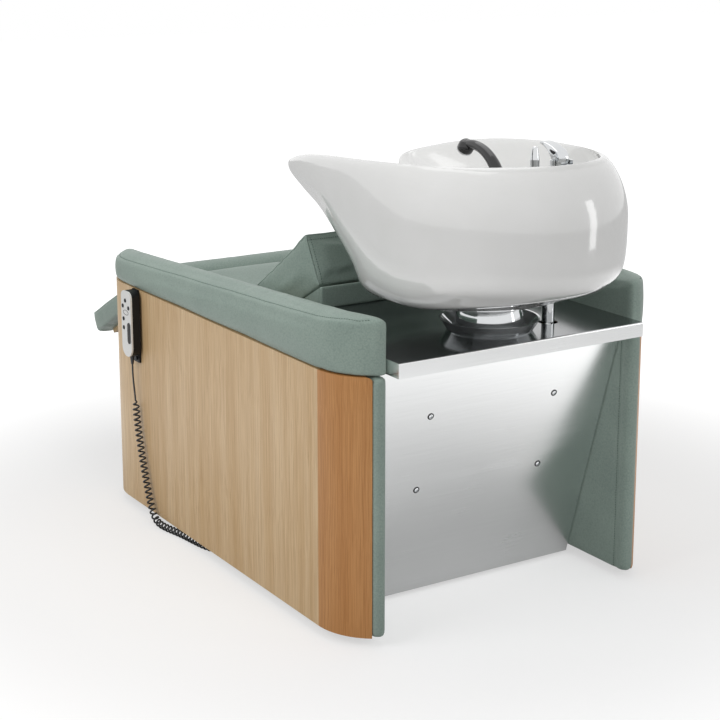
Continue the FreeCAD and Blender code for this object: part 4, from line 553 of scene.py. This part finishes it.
def creased(piece, lines, wide_mm, deep_mm):
    """Draws the skin in along its seams."""
    mesh = piece.data
    points, normals = points_of(mesh), normals_of(mesh)
    near = np.full(len(points), np.inf)
    for line in lines:
        for place in along(line, 2):
            reach = np.abs(points[:, 0] - place[0]) < 3 * wide_mm * MM
            index = np.nonzero(reach)[0]
            gap = np.linalg.norm(points[index] - place, axis=1)
            near[index] = np.minimum(near[index], gap)
    draw = np.exp(-(near / (wide_mm * MM)) ** 2) * deep_mm * MM
    move_points(mesh, points - normals * draw[:, None])


def stitched(piece, name, lines, body, pitch_mm=5.5, proud_mm=0.3):
    """Sewn lines on a cover: a row of short thread loops lying on its skin."""
    tree = BVHTree.FromObject(piece, bpy.context.evaluated_depsgraph_get())
    points, faces = [], []
    for line in lines:
        places = along(line, pitch_mm)
        for one, two in zip(places[:-1], places[1:]):
            middle = Vector((one + two) / 2)
            at, normal, _, gap = tree.find_nearest(middle)
            if at is None or gap > 0.02:
                continue
            way = Vector(two - one)
            way = (way - normal * way.dot(normal)).normalized()
            side = normal.cross(way)
            half, wide, tall = 0.36 * pitch_mm * MM, 0.55 * MM, 0.5 * MM
            base = len(points)
            for share, swell in ((-1, 0.35), (-0.55, 1), (0.55, 1), (1, 0.35)):
                foot = at + way * (half * share) + normal * (proud_mm * MM - tall * (1 - swell))
                for angle in (0, 60, 120, 180, 240, 300):
                    turn = math.radians(angle)
                    across, above = wide * swell * math.cos(turn), tall * swell * math.sin(turn)
                    points.append(foot + side * across + normal * above)
            faces += [tuple(base + corner for corner in face) for face in ring_faces(4, 6)]
    dressed(link(name, solid_mesh(name, points, faces)), THREAD, body)


def upholstered(piece, node, body):
    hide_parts(node)
    dressed(piece, LEATHER, body)


def edge_line(piece, way, out, trim_mm, count=90):
    """A cover's edge: at each place along one way, the skin that is furthest out, evened along its length."""
    points = points_of(piece.data)
    reach = points @ np.asarray(way, float)
    face = points @ np.asarray(out, float)
    line = []
    for mark in np.linspace(reach.min() + trim_mm * MM, reach.max() - trim_mm * MM, count):
        near = np.nonzero(np.abs(reach - mark) < 4 * MM)[0]
        line.append(points[near[np.argmax(face[near])]])
    line = np.array(line)
    even = np.ones(7) / 7
    for k in range(3):
        line[3:-3, k] = np.convolve(line[:, k], even, "valid")
    return line


def piped(piece, name, lines, body, radius_mm):
    """Welts: thin round cords in leatherette, sewn into a cover's seams and half sunk in its skin."""
    tree = BVHTree.FromObject(piece, bpy.context.evaluated_depsgraph_get())
    for number, line in enumerate(lines, 1):
        places = [tree.find_nearest(Vector(place))[0] for place in along(line, 9)]
        welt = round_tube(f"{name}_{number}", smooth_line(f"{name}_{number}", places, 4, 4), radius_mm)
        dressed(welt, LEATHER, body)


def make_arm_pads():
    """Wedges over the panels' tops, sewn along the outer top edge."""
    left = even_skin("left_arm_pad", "left_arm_cover", 5)
    slimmed(left, 1.5)
    filled(left, 4, held=lambda p: p[:, 2] < p[:, 2].min() + 4 * MM)
    smoothed(left, 3)
    refined(left)
    edge = edge_line(left, (0, 1, 0), (0.72, 0, 1), 12)
    creased(left, [edge], 4, 1.6)
    right = mirrored(left, "right_arm_cover")
    upholstered(left, "left_arm_pad", "base")
    upholstered(right, "right_arm_pad", "base")
    seam = edge + (-3.5 * MM, 0, 0)
    stitched(left, "left_arm_stitches", [seam], "base")
    stitched(right, "right_arm_stitches", [seam * (-1, 1, 1)], "base")


LINER_STRIP = 30


def make_liners():
    """Padded boards inside the panels, with a fuller strip round each upright edge."""
    left = even_skin("left_liner", "left_liner_cover", 8)
    smoothed(left, 2)
    refined(left)
    lo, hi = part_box("left_liner")
    seams = []
    for end in (-1, 1):
        y = end * (hi.y - LINER_STRIP * MM)
        seams.append([(lo.x, y, lo.z + 4 * MM), (lo.x, y, hi.z - 2 * MM)])
    creased(left, seams, 5, 2.0)
    right = mirrored(left, "right_liner_cover")
    upholstered(left, "left_liner", "base")
    upholstered(right, "right_liner", "base")
    rows = [[(x, y - math.copysign(4 * MM, y), z) for x, y, z in seam] for seam in seams]
    stitched(left, "left_liner_stitches", rows, "base")
    stitched(right, "right_liner_stitches", [[(-x, y, z) for x, y, z in row] for row in rows], "base")


SEAT_TILT = 8.5


def make_seat():
    seat = even_skin("seat_cushion", "seat_cover", 6)
    slimmed(seat, 2)
    tilt = math.radians(SEAT_TILT)
    up = np.array([0, math.sin(tilt), math.cos(tilt)])
    floor = (points_of(seat.data) @ up).min()
    filled(seat, 10, held=lambda p: p @ up < floor + 8 * MM)
    smoothed(seat, 3)
    refined(seat)
    # A welt round the top: along both sides and across the front.
    rear_way = np.array([0, math.cos(tilt), -math.sin(tilt)])
    sides = [edge_line(seat, rear_way, np.array([side, 0, 0]) + 0.8 * up, 10) for side in (-1, 1)]
    front = edge_line(seat, (1, 0, 0), 0.8 * up - rear_way, 14)
    creased(seat, sides + [front], 5, 1.5)
    upholstered(seat, "seat_cushion", "base")
    piped(seat, "seat_welt", sides + [front], "base", 2.2)


# The backrest's sewn corners, on the left: its top, its back seam and the lower end of its front edge.
BACK_TOP, BACK_SEAM, BACK_FRONT = (0.200, 0.080, 0.739), (0.200, 0.140, 0.632), (0.276, -0.225, 0.492)
BACK_RISES_FROM, BACK_RISE = 0.600, 0.012
# The gusset under its left side: the corner at the back seam, the lower front one and the one on the shelf.
GUSSET_CORNERS, GUSSET_THICK = ((0.199, 0.143, 0.628), (0.275, -0.165, 0.421), (0.199, 0.143, 0.584)), 6


def make_backrest():
    back = even_skin("backrest_cushion", "backrest_cover", 6)
    # Its foam stands a little above the solid's top.
    points = points_of(back.data)
    share = np.clip((points[:, 2] - BACK_RISES_FROM) / (BACK_TOP[2] - BACK_RISE - BACK_RISES_FROM), 0, 1)
    move_points(back.data, points + share[:, None] * (0, 0, BACK_RISE))
    slimmed(back, 1)
    filled(back, 8)
    smoothed(back, 2)
    refined(back)
    welts, rows = [], []
    for side in (-1, 1):
        top, seam, front = [np.array(place) * (side, 1, 1) for place in (BACK_TOP, BACK_SEAM, BACK_FRONT)]
        welts += [[front, top], [top, seam]]
        rows.append([seam + (-side * 0.012, 0, 0), top + (-side * 0.012, 0.006, -0.010)])
    across = np.array((-1, 1, 1))
    top, seam = np.array(BACK_TOP), np.array(BACK_SEAM)
    welts.append([top * across, top])
    below = (0, 0.010, -0.016)
    rows.append([top * across + below, top + below])
    creased(back, welts + [[seam * across, seam]], 5, 2)
    upholstered(back, "backrest_cushion", "base")
    piped(back, "backrest_welt", welts, "base", 2.4)
    stitched(back, "backrest_stitches", rows, "base")

    panel = even_skin("backrest_rear_panel", "backrest_rear_cover", 3)
    smoothed(panel, 3)
    refined(panel)
    upholstered(panel, "backrest_rear_panel", "base")

    # A gusset on each side closes the wedge between the cushion and its board.
    corners = [Vector(place) for place in GUSSET_CORNERS]
    points = corners + [place - Vector((GUSSET_THICK * MM, 0, 0)) for place in corners]
    faces = [(0, 1, 2), (5, 4, 3), (0, 3, 4, 1), (1, 4, 5, 2), (2, 5, 3, 0)]
    left = link("left_gusset", solid_mesh("left_gusset", points, faces, smooth=False))
    for gusset in (left, mirrored(left, "right_gusset")):
        dressed(gusset, LEATHER, "base")


# The leg rest: its slope in degrees, the length of its nose and of a slice of it in millimetres, and how far
# a slice may be drawn out.
LEG_SLOPE, LEG_NOSE, LEG_SLICE, LEG_STRETCH = 29, 100, 4, 2.4


def squared(piece, down, up):
    """Gives a cushion's round nose a flat end: each slice there is drawn out to the cushion's height."""
    points = points_of(piece.data)
    reach, tall = points @ down, points @ up
    slices = np.floor((reach.max() - reach) / (LEG_SLICE * MM)).astype(int)
    whole = np.nonzero(np.abs(reach - reach.max() + LEG_NOSE * MM) < 2 * LEG_SLICE * MM)[0]
    low, high = tall[whole].min(), tall[whole].max()
    for number in range(int(LEG_NOSE / LEG_SLICE)):
        mine = np.nonzero(slices == number)[0]
        if len(mine) < 2:
            continue
        bottom, top = tall[mine].min(), tall[mine].max()
        stretch = min((high - low) / max(top - bottom, MM), LEG_STRETCH)
        foot = min(max(bottom - (stretch - 1) * (top - bottom) / 2, low), high - stretch * (top - bottom))
        shift = foot + (tall[mine] - bottom) * stretch - tall[mine]
        points[mine] += shift[:, None] * up
    move_points(piece.data, points)


def make_leg_rest():
    leg = even_skin("legrest_cushion", "legrest_cover", 6)
    slope = math.radians(LEG_SLOPE)
    down = np.array([0, -math.cos(slope), -math.sin(slope)])
    up = np.array([0, -math.sin(slope), math.cos(slope)])
    squared(leg, down, up)
    slimmed(leg, 1.5)
    filled(leg, 6)
    smoothed(leg, 4)
    refined(leg)
    sides = [edge_line(leg, down, np.array([side, 0, 0]) + 0.8 * up, 26) for side in (-1, 1)]
    creased(leg, sides, 4, 1.4)
    upholstered(leg, "legrest_cushion", "leg_rest")
    piped(leg, "legrest_welt", sides, "leg_rest", 2.2)


make_arm_pads()
make_liners()
make_seat()
make_backrest()
make_leg_rest()


# Hard pieces that are finer than their solids.
def softened(node, wide_mm):
    """Breaks a solid's sharp edges, as moulding, pressing and polishing do."""
    edge = frame["nodes"][node].modifiers.new("broken_edges", "BEVEL")
    edge.width = wide_mm * MM
    edge.segments = 3
    edge.limit_method = "ANGLE"
    edge.angle_limit = math.radians(40)


def ringed(name, rings, turns=48):
    """A closed piece through rings: each has its middle, the way it faces and its radius, in millimetres."""
    points = []
    for middle, way, radius in rings:
        way = Vector(way).normalized()
        side = way.cross(Vector((1, 0, 0)))
        if side.length < 0.1:
            side = way.cross(Vector((0, 0, 1)))
        side.normalize()
        other = way.cross(side)
        for angle in round_angles(turns):
            points.append((Vector(middle) + (side * math.cos(angle) + other * math.sin(angle)) * radius) * MM)
    mesh = solid_mesh(name, points, ring_faces(len(rings), turns))
    mesh.set_sharp_from_angle(angle=math.radians(38))
    return link(name, mesh)


def joined(pieces):
    """Several pieces as one."""
    first = pieces[0]
    with bpy.context.temp_override(active_object=first, object=first, selected_objects=pieces,
                                   selected_editable_objects=pieces):
        bpy.ops.object.join()
    return first


def stands_for(piece, node, finish, body):
    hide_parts(node)
    dressed(piece, finish, body)


# The basin's cast shape against its solid, in millimetres: the middle of its plan and its half sizes, how far
# the skin is drawn in at the flanks, the rim, the rear corners and the horns' tips, how far it is raised
# under the horns and the rear, and then where each of these starts and over what length it grows.
BASIN_MIDDLE, BASIN_HALF, BASIN_REAR = 480, 273, 285
FLANK_IN, RIM_IN, CORNER_IN, TIP_IN, KEEL_UP, BELLY_UP = 17, 32, 18, 30, 24, 16
FLANK_FROM, CORNER_HALF = 100, 250
RIM_FROM, RIM_TALL, RIM_SWELL, RIM_FRONT, RIM_LONG = 825, 115, 1.8, 330, 250
TIP_FROM, TIP_LONG = 230, 300
KEEL_TOP, KEEL_TALL, KEEL_REAR, KEEL_LONG, KEEL_FOOT, KEEL_RISE = 895, 90, 300, 200, 690, 60
BELLY_TOP, BELLY_TALL, BELLY_LONG = 800, 130, 200


def eased(amount):
    """A smooth step from 0 to 1."""
    share = np.clip(amount, 0, 1)
    return share * share * (3 - 2 * share)


def cast_shape(points):
    """Moves the basin's outer skin to its cast shape; the tap deck, the drain and the foot stay."""
    x, y, z = (np.asarray(points) / MM).T
    rearward = np.maximum(y - BASIN_MIDDLE, 0)
    reach = np.hypot(x / BASIN_HALF, rearward / BASIN_REAR)
    skin = eased((reach - 0.78) / 0.18)
    beside = np.maximum(np.abs(x) - FLANK_FROM, 0) / (BASIN_HALF - FLANK_FROM)
    new_x = x - np.sign(x) * FLANK_IN * beside ** 2
    # The rim is narrower than the belly, and the plan's rear corners are round.
    wide, deep = np.abs(new_x) / CORNER_HALF, rearward / BASIN_REAR
    diagonal = 4 * (wide * deep) ** 2 / (wide ** 2 + deep ** 2 + 1e-9) ** 2
    high = np.clip((z - RIM_FROM) / RIM_TALL, 0, 1) ** RIM_SWELL
    inward = skin * (RIM_IN * high * eased((y - RIM_FRONT) / RIM_LONG) + CORNER_IN * diagonal)
    length = np.hypot(new_x, rearward) + 1e-9
    new_x, new_y = new_x - inward * new_x / length, y - inward * rearward / length
    # The horns are shorter and slimmer, and the belly rises to the rear.
    new_y = new_y + TIP_IN * np.clip((TIP_FROM - new_y) / TIP_LONG, 0, 1) ** 2
    keel = eased((KEEL_TOP - z) / KEEL_TALL) * eased((KEEL_REAR - y) / KEEL_LONG)
    keel = keel * eased((z - KEEL_FOOT) / KEEL_RISE)
    belly = eased((reach - 0.35) / 0.4) * eased((BELLY_TOP - z) / BELLY_TALL)
    belly = belly * eased((y - BASIN_MIDDLE) / BELLY_LONG)
    return np.stack([new_x, new_y, z + KEEL_UP * keel + BELLY_UP * belly], axis=1) * MM


def make_basin():
    """The ceramic shell, with each corner's normal carried over from the solid's."""
    mesh = frame["nodes"]["basin"].data.copy()
    points = points_of(mesh)
    owner = np.zeros(len(mesh.loops), int)
    mesh.loops.foreach_get("vertex_index", owner)
    normals = triples(mesh.corner_normals, "vector")
    side = np.cross(normals, np.where(np.abs(normals[:, :1]) < 0.8, (1, 0, 0), (0, 1, 0)))
    side /= np.linalg.norm(side, axis=1)[:, None]
    other = np.cross(normals, side)
    step = 0.1 * MM
    at = points[owner]
    ways = [cast_shape(at + way * step) - cast_shape(at - way * step) for way in (side, other)]
    turned = np.cross(*ways)
    turned /= np.linalg.norm(turned, axis=1)[:, None]
    move_points(mesh, cast_shape(points))
    mesh.normals_split_custom_set(turned.tolist())
    stands_for(link("basin_shell", mesh), "basin", CERAMIC, "basin_group")


# The hand shower: a stem in its guide, a bent grip and a drum head that looks down into the bowl. The head's
# outlines are places along its axis with their radii, and its nozzles are rings with a count and a radius.
SHOWER_FOOT, SHOWER_LEAN, SHOWER_BOW, SHOWER_TURN = Vector((110, 655, 907)), 15, 95, 85
STEM_LONG, STEM_RADIUS, COLLAR_RADIUS = 58, 8, 10.6
GRIP_STEPS, GRIP_RADIUS, GRIP_TAPER, GRIP_NECK = 40, 12.3, 3.2, 1.2
DRUM = ((-15.5, 2), (-15, 5.5), (-13.4, 9.3), (-10.6, 12.6), (-6.8, 14.9), (-2, 16), (4, 16), (6, 15.6),
        (6, 13))
SPRAY_PLATE = ((5.2, 15.6), (8.6, 15.7), (9.6, 15), (9.6, 13.2), (8.4, 12.6), (8.4, 12.4), (8.9, 8),
               (9.1, 0.4))
NOZZLE, NOZZLE_RINGS = ((8.2, 0.9), (9.9, 0.75), (9.9, 0.4)), ((1, 0), (6, 4), (12, 8.2))


def make_shower():
    lean = math.radians(SHOWER_LEAN)
    up, back = Vector((0, -math.sin(lean), math.cos(lean))), Vector((0, math.cos(lean), math.sin(lean)))
    centre = SHOWER_FOOT - back * SHOWER_BOW
    rings = [(SHOWER_FOOT - up * STEM_LONG, up, STEM_RADIUS), (SHOWER_FOOT, up, STEM_RADIUS),
             (SHOWER_FOOT + up * 0.05, up, COLLAR_RADIUS)]
    for step in range(GRIP_STEPS + 1):
        share = step / GRIP_STEPS
        angle = lean + math.radians(SHOWER_TURN) * share
        out = Vector((0, math.cos(angle), math.sin(angle)))
        radius = GRIP_RADIUS - GRIP_TAPER * eased(share) - GRIP_NECK * max(0, 1 - share * 12) ** 2
        rings.append((centre + out * SHOWER_BOW, (0, -math.sin(angle), math.cos(angle)), radius))
    grip = ringed("shower_grip", rings)

    # The head: a domed black drum round the grip's end, with a chrome ring and its spray plate.
    facing = Vector((0, -0.62, -0.78)).normalized()
    heart = centre + Vector((0, math.cos(angle), math.sin(angle))) * SHOWER_BOW + Vector((0, -5, -5.5))
    head = ringed("shower_drum", [(heart + facing * tall, facing, radius) for tall, radius in DRUM])
    stands_for(joined([grip, head]), "shower_handle", LACQUER, "shower_body")
    face = [ringed("spray_face", [(heart + facing * tall, facing, radius) for tall, radius in SPRAY_PLATE])]
    side = Vector((1, 0, 0))
    other = facing.cross(side)
    for count, reach in NOZZLE_RINGS:
        for angle in round_angles(count):
            foot = heart + (side * math.cos(angle) + other * math.sin(angle)) * reach
            tip = [(foot + facing * tall, facing, radius) for tall, radius in NOZZLE]
            face.append(ringed("nozzle", tip, 10))
    stands_for(joined(face), "spray_head", CHROME, "shower_body")


# The mixer's lever from the side, as places rearward of and above its pin. Across its width, this outline
# shrinks towards both sides. The screw's ring is places out from the middle with their radii.
LEVER_PIN, LEVER_HALF = Vector((-28, 660, 945.9)), 12.5
LEVER_SIDE = ((7, -3), (8.6, 4), (7.6, 12), (1, 20), (-12, 27), (-28, 32), (-42, 34.4), (-52, 34.4),
              (-54, 32.4), (-50, 30.6), (-40, 27.5), (-29, 20.5), (-20, 10), (-13, 1), (-8, -5), (0, -7),
              (5, -6))
LEVER_STATIONS = ((-1, 0.90), (-0.97, 0.95), (-0.86, 0.988), (-0.7, 1), (0.7, 1), (0.86, 0.988),
                  (0.97, 0.95), (1, 0.90))
LEVER_SCREW = ((11, 5.4), (13.2, 5.4), (13.6, 4.8), (13.6, 3.4), (12.6, 3.2), (12.6, 0.4))


def make_lever():
    """A fin with rounded edges: cast, ground and plated."""
    line = [(0, y * MM, z * MM) for y, z in LEVER_SIDE + LEVER_SIDE[:1]]
    outline = read_line(smooth_line("lever_outline", line, 3, 6))[:-1]
    middle = outline.mean(axis=0)
    points = []
    for share, scale in LEVER_STATIONS:
        for place in outline:
            near = middle + (place - middle) * scale
            points.append(np.array(LEVER_PIN) * MM + near + (share * LEVER_HALF * MM, 0, 0))
    mesh = solid_mesh("mixer_fin", points, ring_faces(len(LEVER_STATIONS), len(outline), flipped=True))
    mesh.set_sharp_from_angle(angle=math.radians(50))
    fin = link("mixer_fin", mesh)
    # The screw that holds it shows as a small ring on each side.
    screws = []
    for side in (-1, 1):
        rings = [(LEVER_PIN + Vector((side * x, -4, 9)), (side, 0, 0), radius) for x, radius in LEVER_SCREW]
        screws.append(ringed("lever_screw", rings, 24))
    stands_for(joined([fin] + screws), "mixer_lever", CHROME, "lever_body")


# The rear cover's screws: the head's radius and height, the recess's half width, reach and depth, the shank's
# radius and depth below the head, and the washer's heights with their radii, in millimetres.
HEAD_RADIUS, HEAD_TALL, RECESS_HALF, RECESS_REACH, RECESS_DEEP = 5.5, 2.6, 0.75, 3.0, 1.5
HEAD_RINGS, HEAD_TURNS = 22, 64
SHANK = ((HEAD_RADIUS, -0.05), (2.4, -0.05), (2.4, -6))
WASHER = ((0, 7.2), (0.7, 7.2), (0.9, 6.9), (0.9, 5.2))


def make_screws():
    """Pan-head screws with a cross recess on dark washers, where the solid ones are."""
    points = points_of(frame["nodes"]["cover_screws"].data)
    lo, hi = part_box("rear_cover")
    way = Vector((0, hi.z - lo.z, lo.y - hi.y)).normalized()
    side = Vector((1, 0, 0))
    other = way.cross(side)
    middle = (points.min(axis=0) + points.max(axis=0)) / 2
    heads, washers = [], []
    angles = round_angles(HEAD_TURNS)
    for across in (-1, 1):
        for height in (-1, 1):
            mine = points[(np.sign(points[:, 0]) == across) & (np.sign(points[:, 2] - middle[2]) == height)]
            apex = Vector(mine[np.argmax(mine @ np.array(way))])
            spot = Vector((across * abs(points[:, 0]).max() - across * HEAD_RADIUS * MM, apex.y, apex.z))
            seat = spot - way * HEAD_TALL * MM
            places = []
            for ring in range(1, HEAD_RINGS + 1):
                for angle in angles:
                    u, v = [HEAD_RADIUS * ring / HEAD_RINGS * f(angle) for f in (math.cos, math.sin)]
                    rise = HEAD_TALL * math.sqrt(max(1 - (ring / HEAD_RINGS) ** 2.6, 0))
                    if min(abs(u), abs(v)) < RECESS_HALF and max(abs(u), abs(v)) < RECESS_REACH:
                        rise -= RECESS_DEEP
                    places.append(seat + (side * u + other * v + way * rise) * MM)
            for wide, depth in SHANK:
                for angle in angles:
                    out = side * math.cos(angle) * wide + other * math.sin(angle) * wide
                    places.append(seat + (out + way * depth) * MM)
            faces = ring_faces(HEAD_RINGS + len(SHANK), HEAD_TURNS, flipped=True)
            mesh = solid_mesh("cover_screw", places, faces)
            mesh.set_sharp_from_angle(angle=math.radians(30))
            heads.append(link("cover_screw", mesh))
            disc = [(seat / MM + way * rise, way, wide) for rise, wide in WASHER]
            washers.append(ringed("cover_washer", disc))
    stands_for(joined(heads), "cover_screws", CHROME, "base")
    dressed(joined(washers), ABS_BLACK, "base")


# The oval frame on the hand control: its half sizes, and its section as heights on the face and ways inward.
OVAL_WIDE, OVAL_TALL, OVAL_TURNS = 14, 6, 40
OVAL_SECTION = ((-0.6, 0), (0.3, 0), (0.5, 0.2), (0.5, 0.8), (0.3, 1), (-0.6, 1))


def middle_of(nodes):
    """The middle of several nodes' boxes."""
    corners = [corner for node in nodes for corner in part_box(node)]
    return sum(corners, Vector()) / len(corners)


def make_badge():
    """A bare oval frame on the hand control's face, between its upper and lower buttons."""
    upper, lower = middle_of(("button_2", "button_3")), middle_of(("button_4",))
    middle = Vector((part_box("hand_front_shell")[1].x, upper.y, upper.z * 0.55 + lower.z * 0.45))
    points = []
    for rise, inward in OVAL_SECTION:
        for angle in round_angles(OVAL_TURNS):
            across, tall = (OVAL_WIDE - inward) * math.cos(angle), (OVAL_TALL - inward) * math.sin(angle)
            points.append(middle + Vector((rise, across, tall)) * MM)
    # The last ring closes on the first.
    faces = [tuple(corner % len(points) for corner in face)
             for face in ring_bands(len(OVAL_SECTION) + 1, OVAL_TURNS)]
    badge = link("hand_badge", solid_mesh("hand_badge", points, faces, smooth=False))
    dressed(badge, SILICONE, "handset")


make_basin()
make_shower()
make_lever()
make_screws()
make_badge()
for node, wide in (("shelf", 1.2), ("rear_cover", 0.4), ("hand_back_shell", 3), ("hand_front_shell", 1),
                   ("hand_cradle", 1.5), ("rocker", 0.8), ("mixer_base", 1), ("mixer_cap", 1.5),
                   ("backflow_post", 1), ("tilt_socket", 0.6), ("drain_flange", 0.5), ("control_box", 1.5),
                   ("left_side_shell", 0.8), ("right_side_shell", 0.8)):
    softened(node, wide)
for number in range(1, 6):
    softened(f"button_{number}", 0.7)


# Stage: a pale floor, a white surround and soft lamps. Each lamp has its place, its width and height, its
# power, and whether mirrors show its outline.
FLOOR_HALF = 14
LAMP_AIM = Vector((0, 0.1, 0.5))
LAMPS = (
    ("key", (3.2, 0.2, 2.2), (2.2, 2.2), 42, False), ("rear", (0.2, 3.6, 2.2), (2.2, 1.6), 24, False),
    ("strip", (-2.6, 2.9, 1.1), (0.45, 1.9), 8, True), ("top", (0, -0.4, 3.4), (2.4, 2.4), 18, True),
)


def seen_rays(tree):
    """1 for what the eye, a mirror or clear glass sees, 0 for what only lights a surface."""
    path = add(tree, "ShaderNodeLightPath").outputs
    seen = add(tree, "ShaderNodeMath", {0: path["Is Camera Ray"], 1: path["Is Glossy Ray"]},
               operation="MAXIMUM")
    seen = add(tree, "ShaderNodeMath", {0: seen.outputs[0], 1: path["Is Transmission Ray"]},
               operation="MAXIMUM")
    return seen.outputs[0]


def make_stage():
    corners = [(FLOOR_HALF * x, FLOOR_HALF * y, 0) for x, y in ((-1, -1), (1, -1), (1, 1), (-1, 1))]
    floor = link("floor", solid_mesh("floor", corners, [(0, 1, 2, 3)]))
    finish, tree, place = new_finish("studio_floor")
    # The floor keeps the unit's shadow and fades into the white surround away from it. Mirrors see it dark
    # close by, white a step away and darker further off.
    path = add(tree, "ShaderNodeLightPath").outputs
    away = add(tree, "ShaderNodeVectorMath", {0: place}, operation="LENGTH")
    fade = add(tree, "ShaderNodeMapRange", {"Value": away.outputs["Value"], "From Min": 0.8, "From Max": 2.0,
                                            "To Min": 0.56, "To Max": 1.0}, interpolation_type="SMOOTHSTEP")
    rise = add(tree, "ShaderNodeMapRange", {"Value": away.outputs["Value"], "From Min": 0.5, "From Max": 1.3,
                                            "To Min": 0.2, "To Max": 1.0}, interpolation_type="SMOOTHSTEP")
    fall = add(tree, "ShaderNodeMapRange", {"Value": away.outputs["Value"], "From Min": 1.7, "From Max": 2.6,
                                            "To Min": 1.0, "To Max": 0.4}, interpolation_type="SMOOTHSTEP")
    mirror = add(tree, "ShaderNodeMath", {0: rise.outputs[0], 1: fall.outputs[0]}, operation="MULTIPLY")
    both = add(tree, "ShaderNodeMix", {0: path["Is Camera Ray"], 2: mirror.outputs[0], 3: fade.outputs[0]})
    glow = add(tree, "ShaderNodeMath", {0: both.outputs[0], 1: seen_rays(tree)}, operation="MULTIPLY")
    coat(floor, shaded(finish, Base_Color=linear("B4B4B4"), Roughness=0.95, Specular_IOR_Level=0,
                       Emission_Color=(1, 1, 1, 1), Emission_Strength=glow.outputs[0]))

    world = bpy.data.worlds.new("studio")
    scene.world = world
    world.use_nodes = True
    tree = world.node_tree
    tree.nodes.clear()
    strength = add(tree, "ShaderNodeMapRange", {"Value": seen_rays(tree), "To Min": 0.36, "To Max": 1.0})
    sky = add(tree, "ShaderNodeBackground", {"Color": (1, 1, 1, 1), "Strength": strength.outputs[0]})
    add(tree, "ShaderNodeOutputWorld", {"Surface": sky.outputs[0]})

    for name, place, (wide, tall), power, mirrored_too in LAMPS:
        data = bpy.data.lights.new(name, "AREA")
        data.shape = "RECTANGLE"
        data.size, data.size_y = wide, tall
        data.energy = power
        lamp = bpy.data.objects.new(name, data)
        lamp.visible_glossy = mirrored_too
        lamp.location = place
        lamp.rotation_euler = (LAMP_AIM - Vector(place)).to_track_quat("-Z", "Y").to_euler()
        scene.collection.objects.link(lamp)

    scene.view_settings.view_transform = "Standard"


make_stage()
bpy.context.view_layer.update()
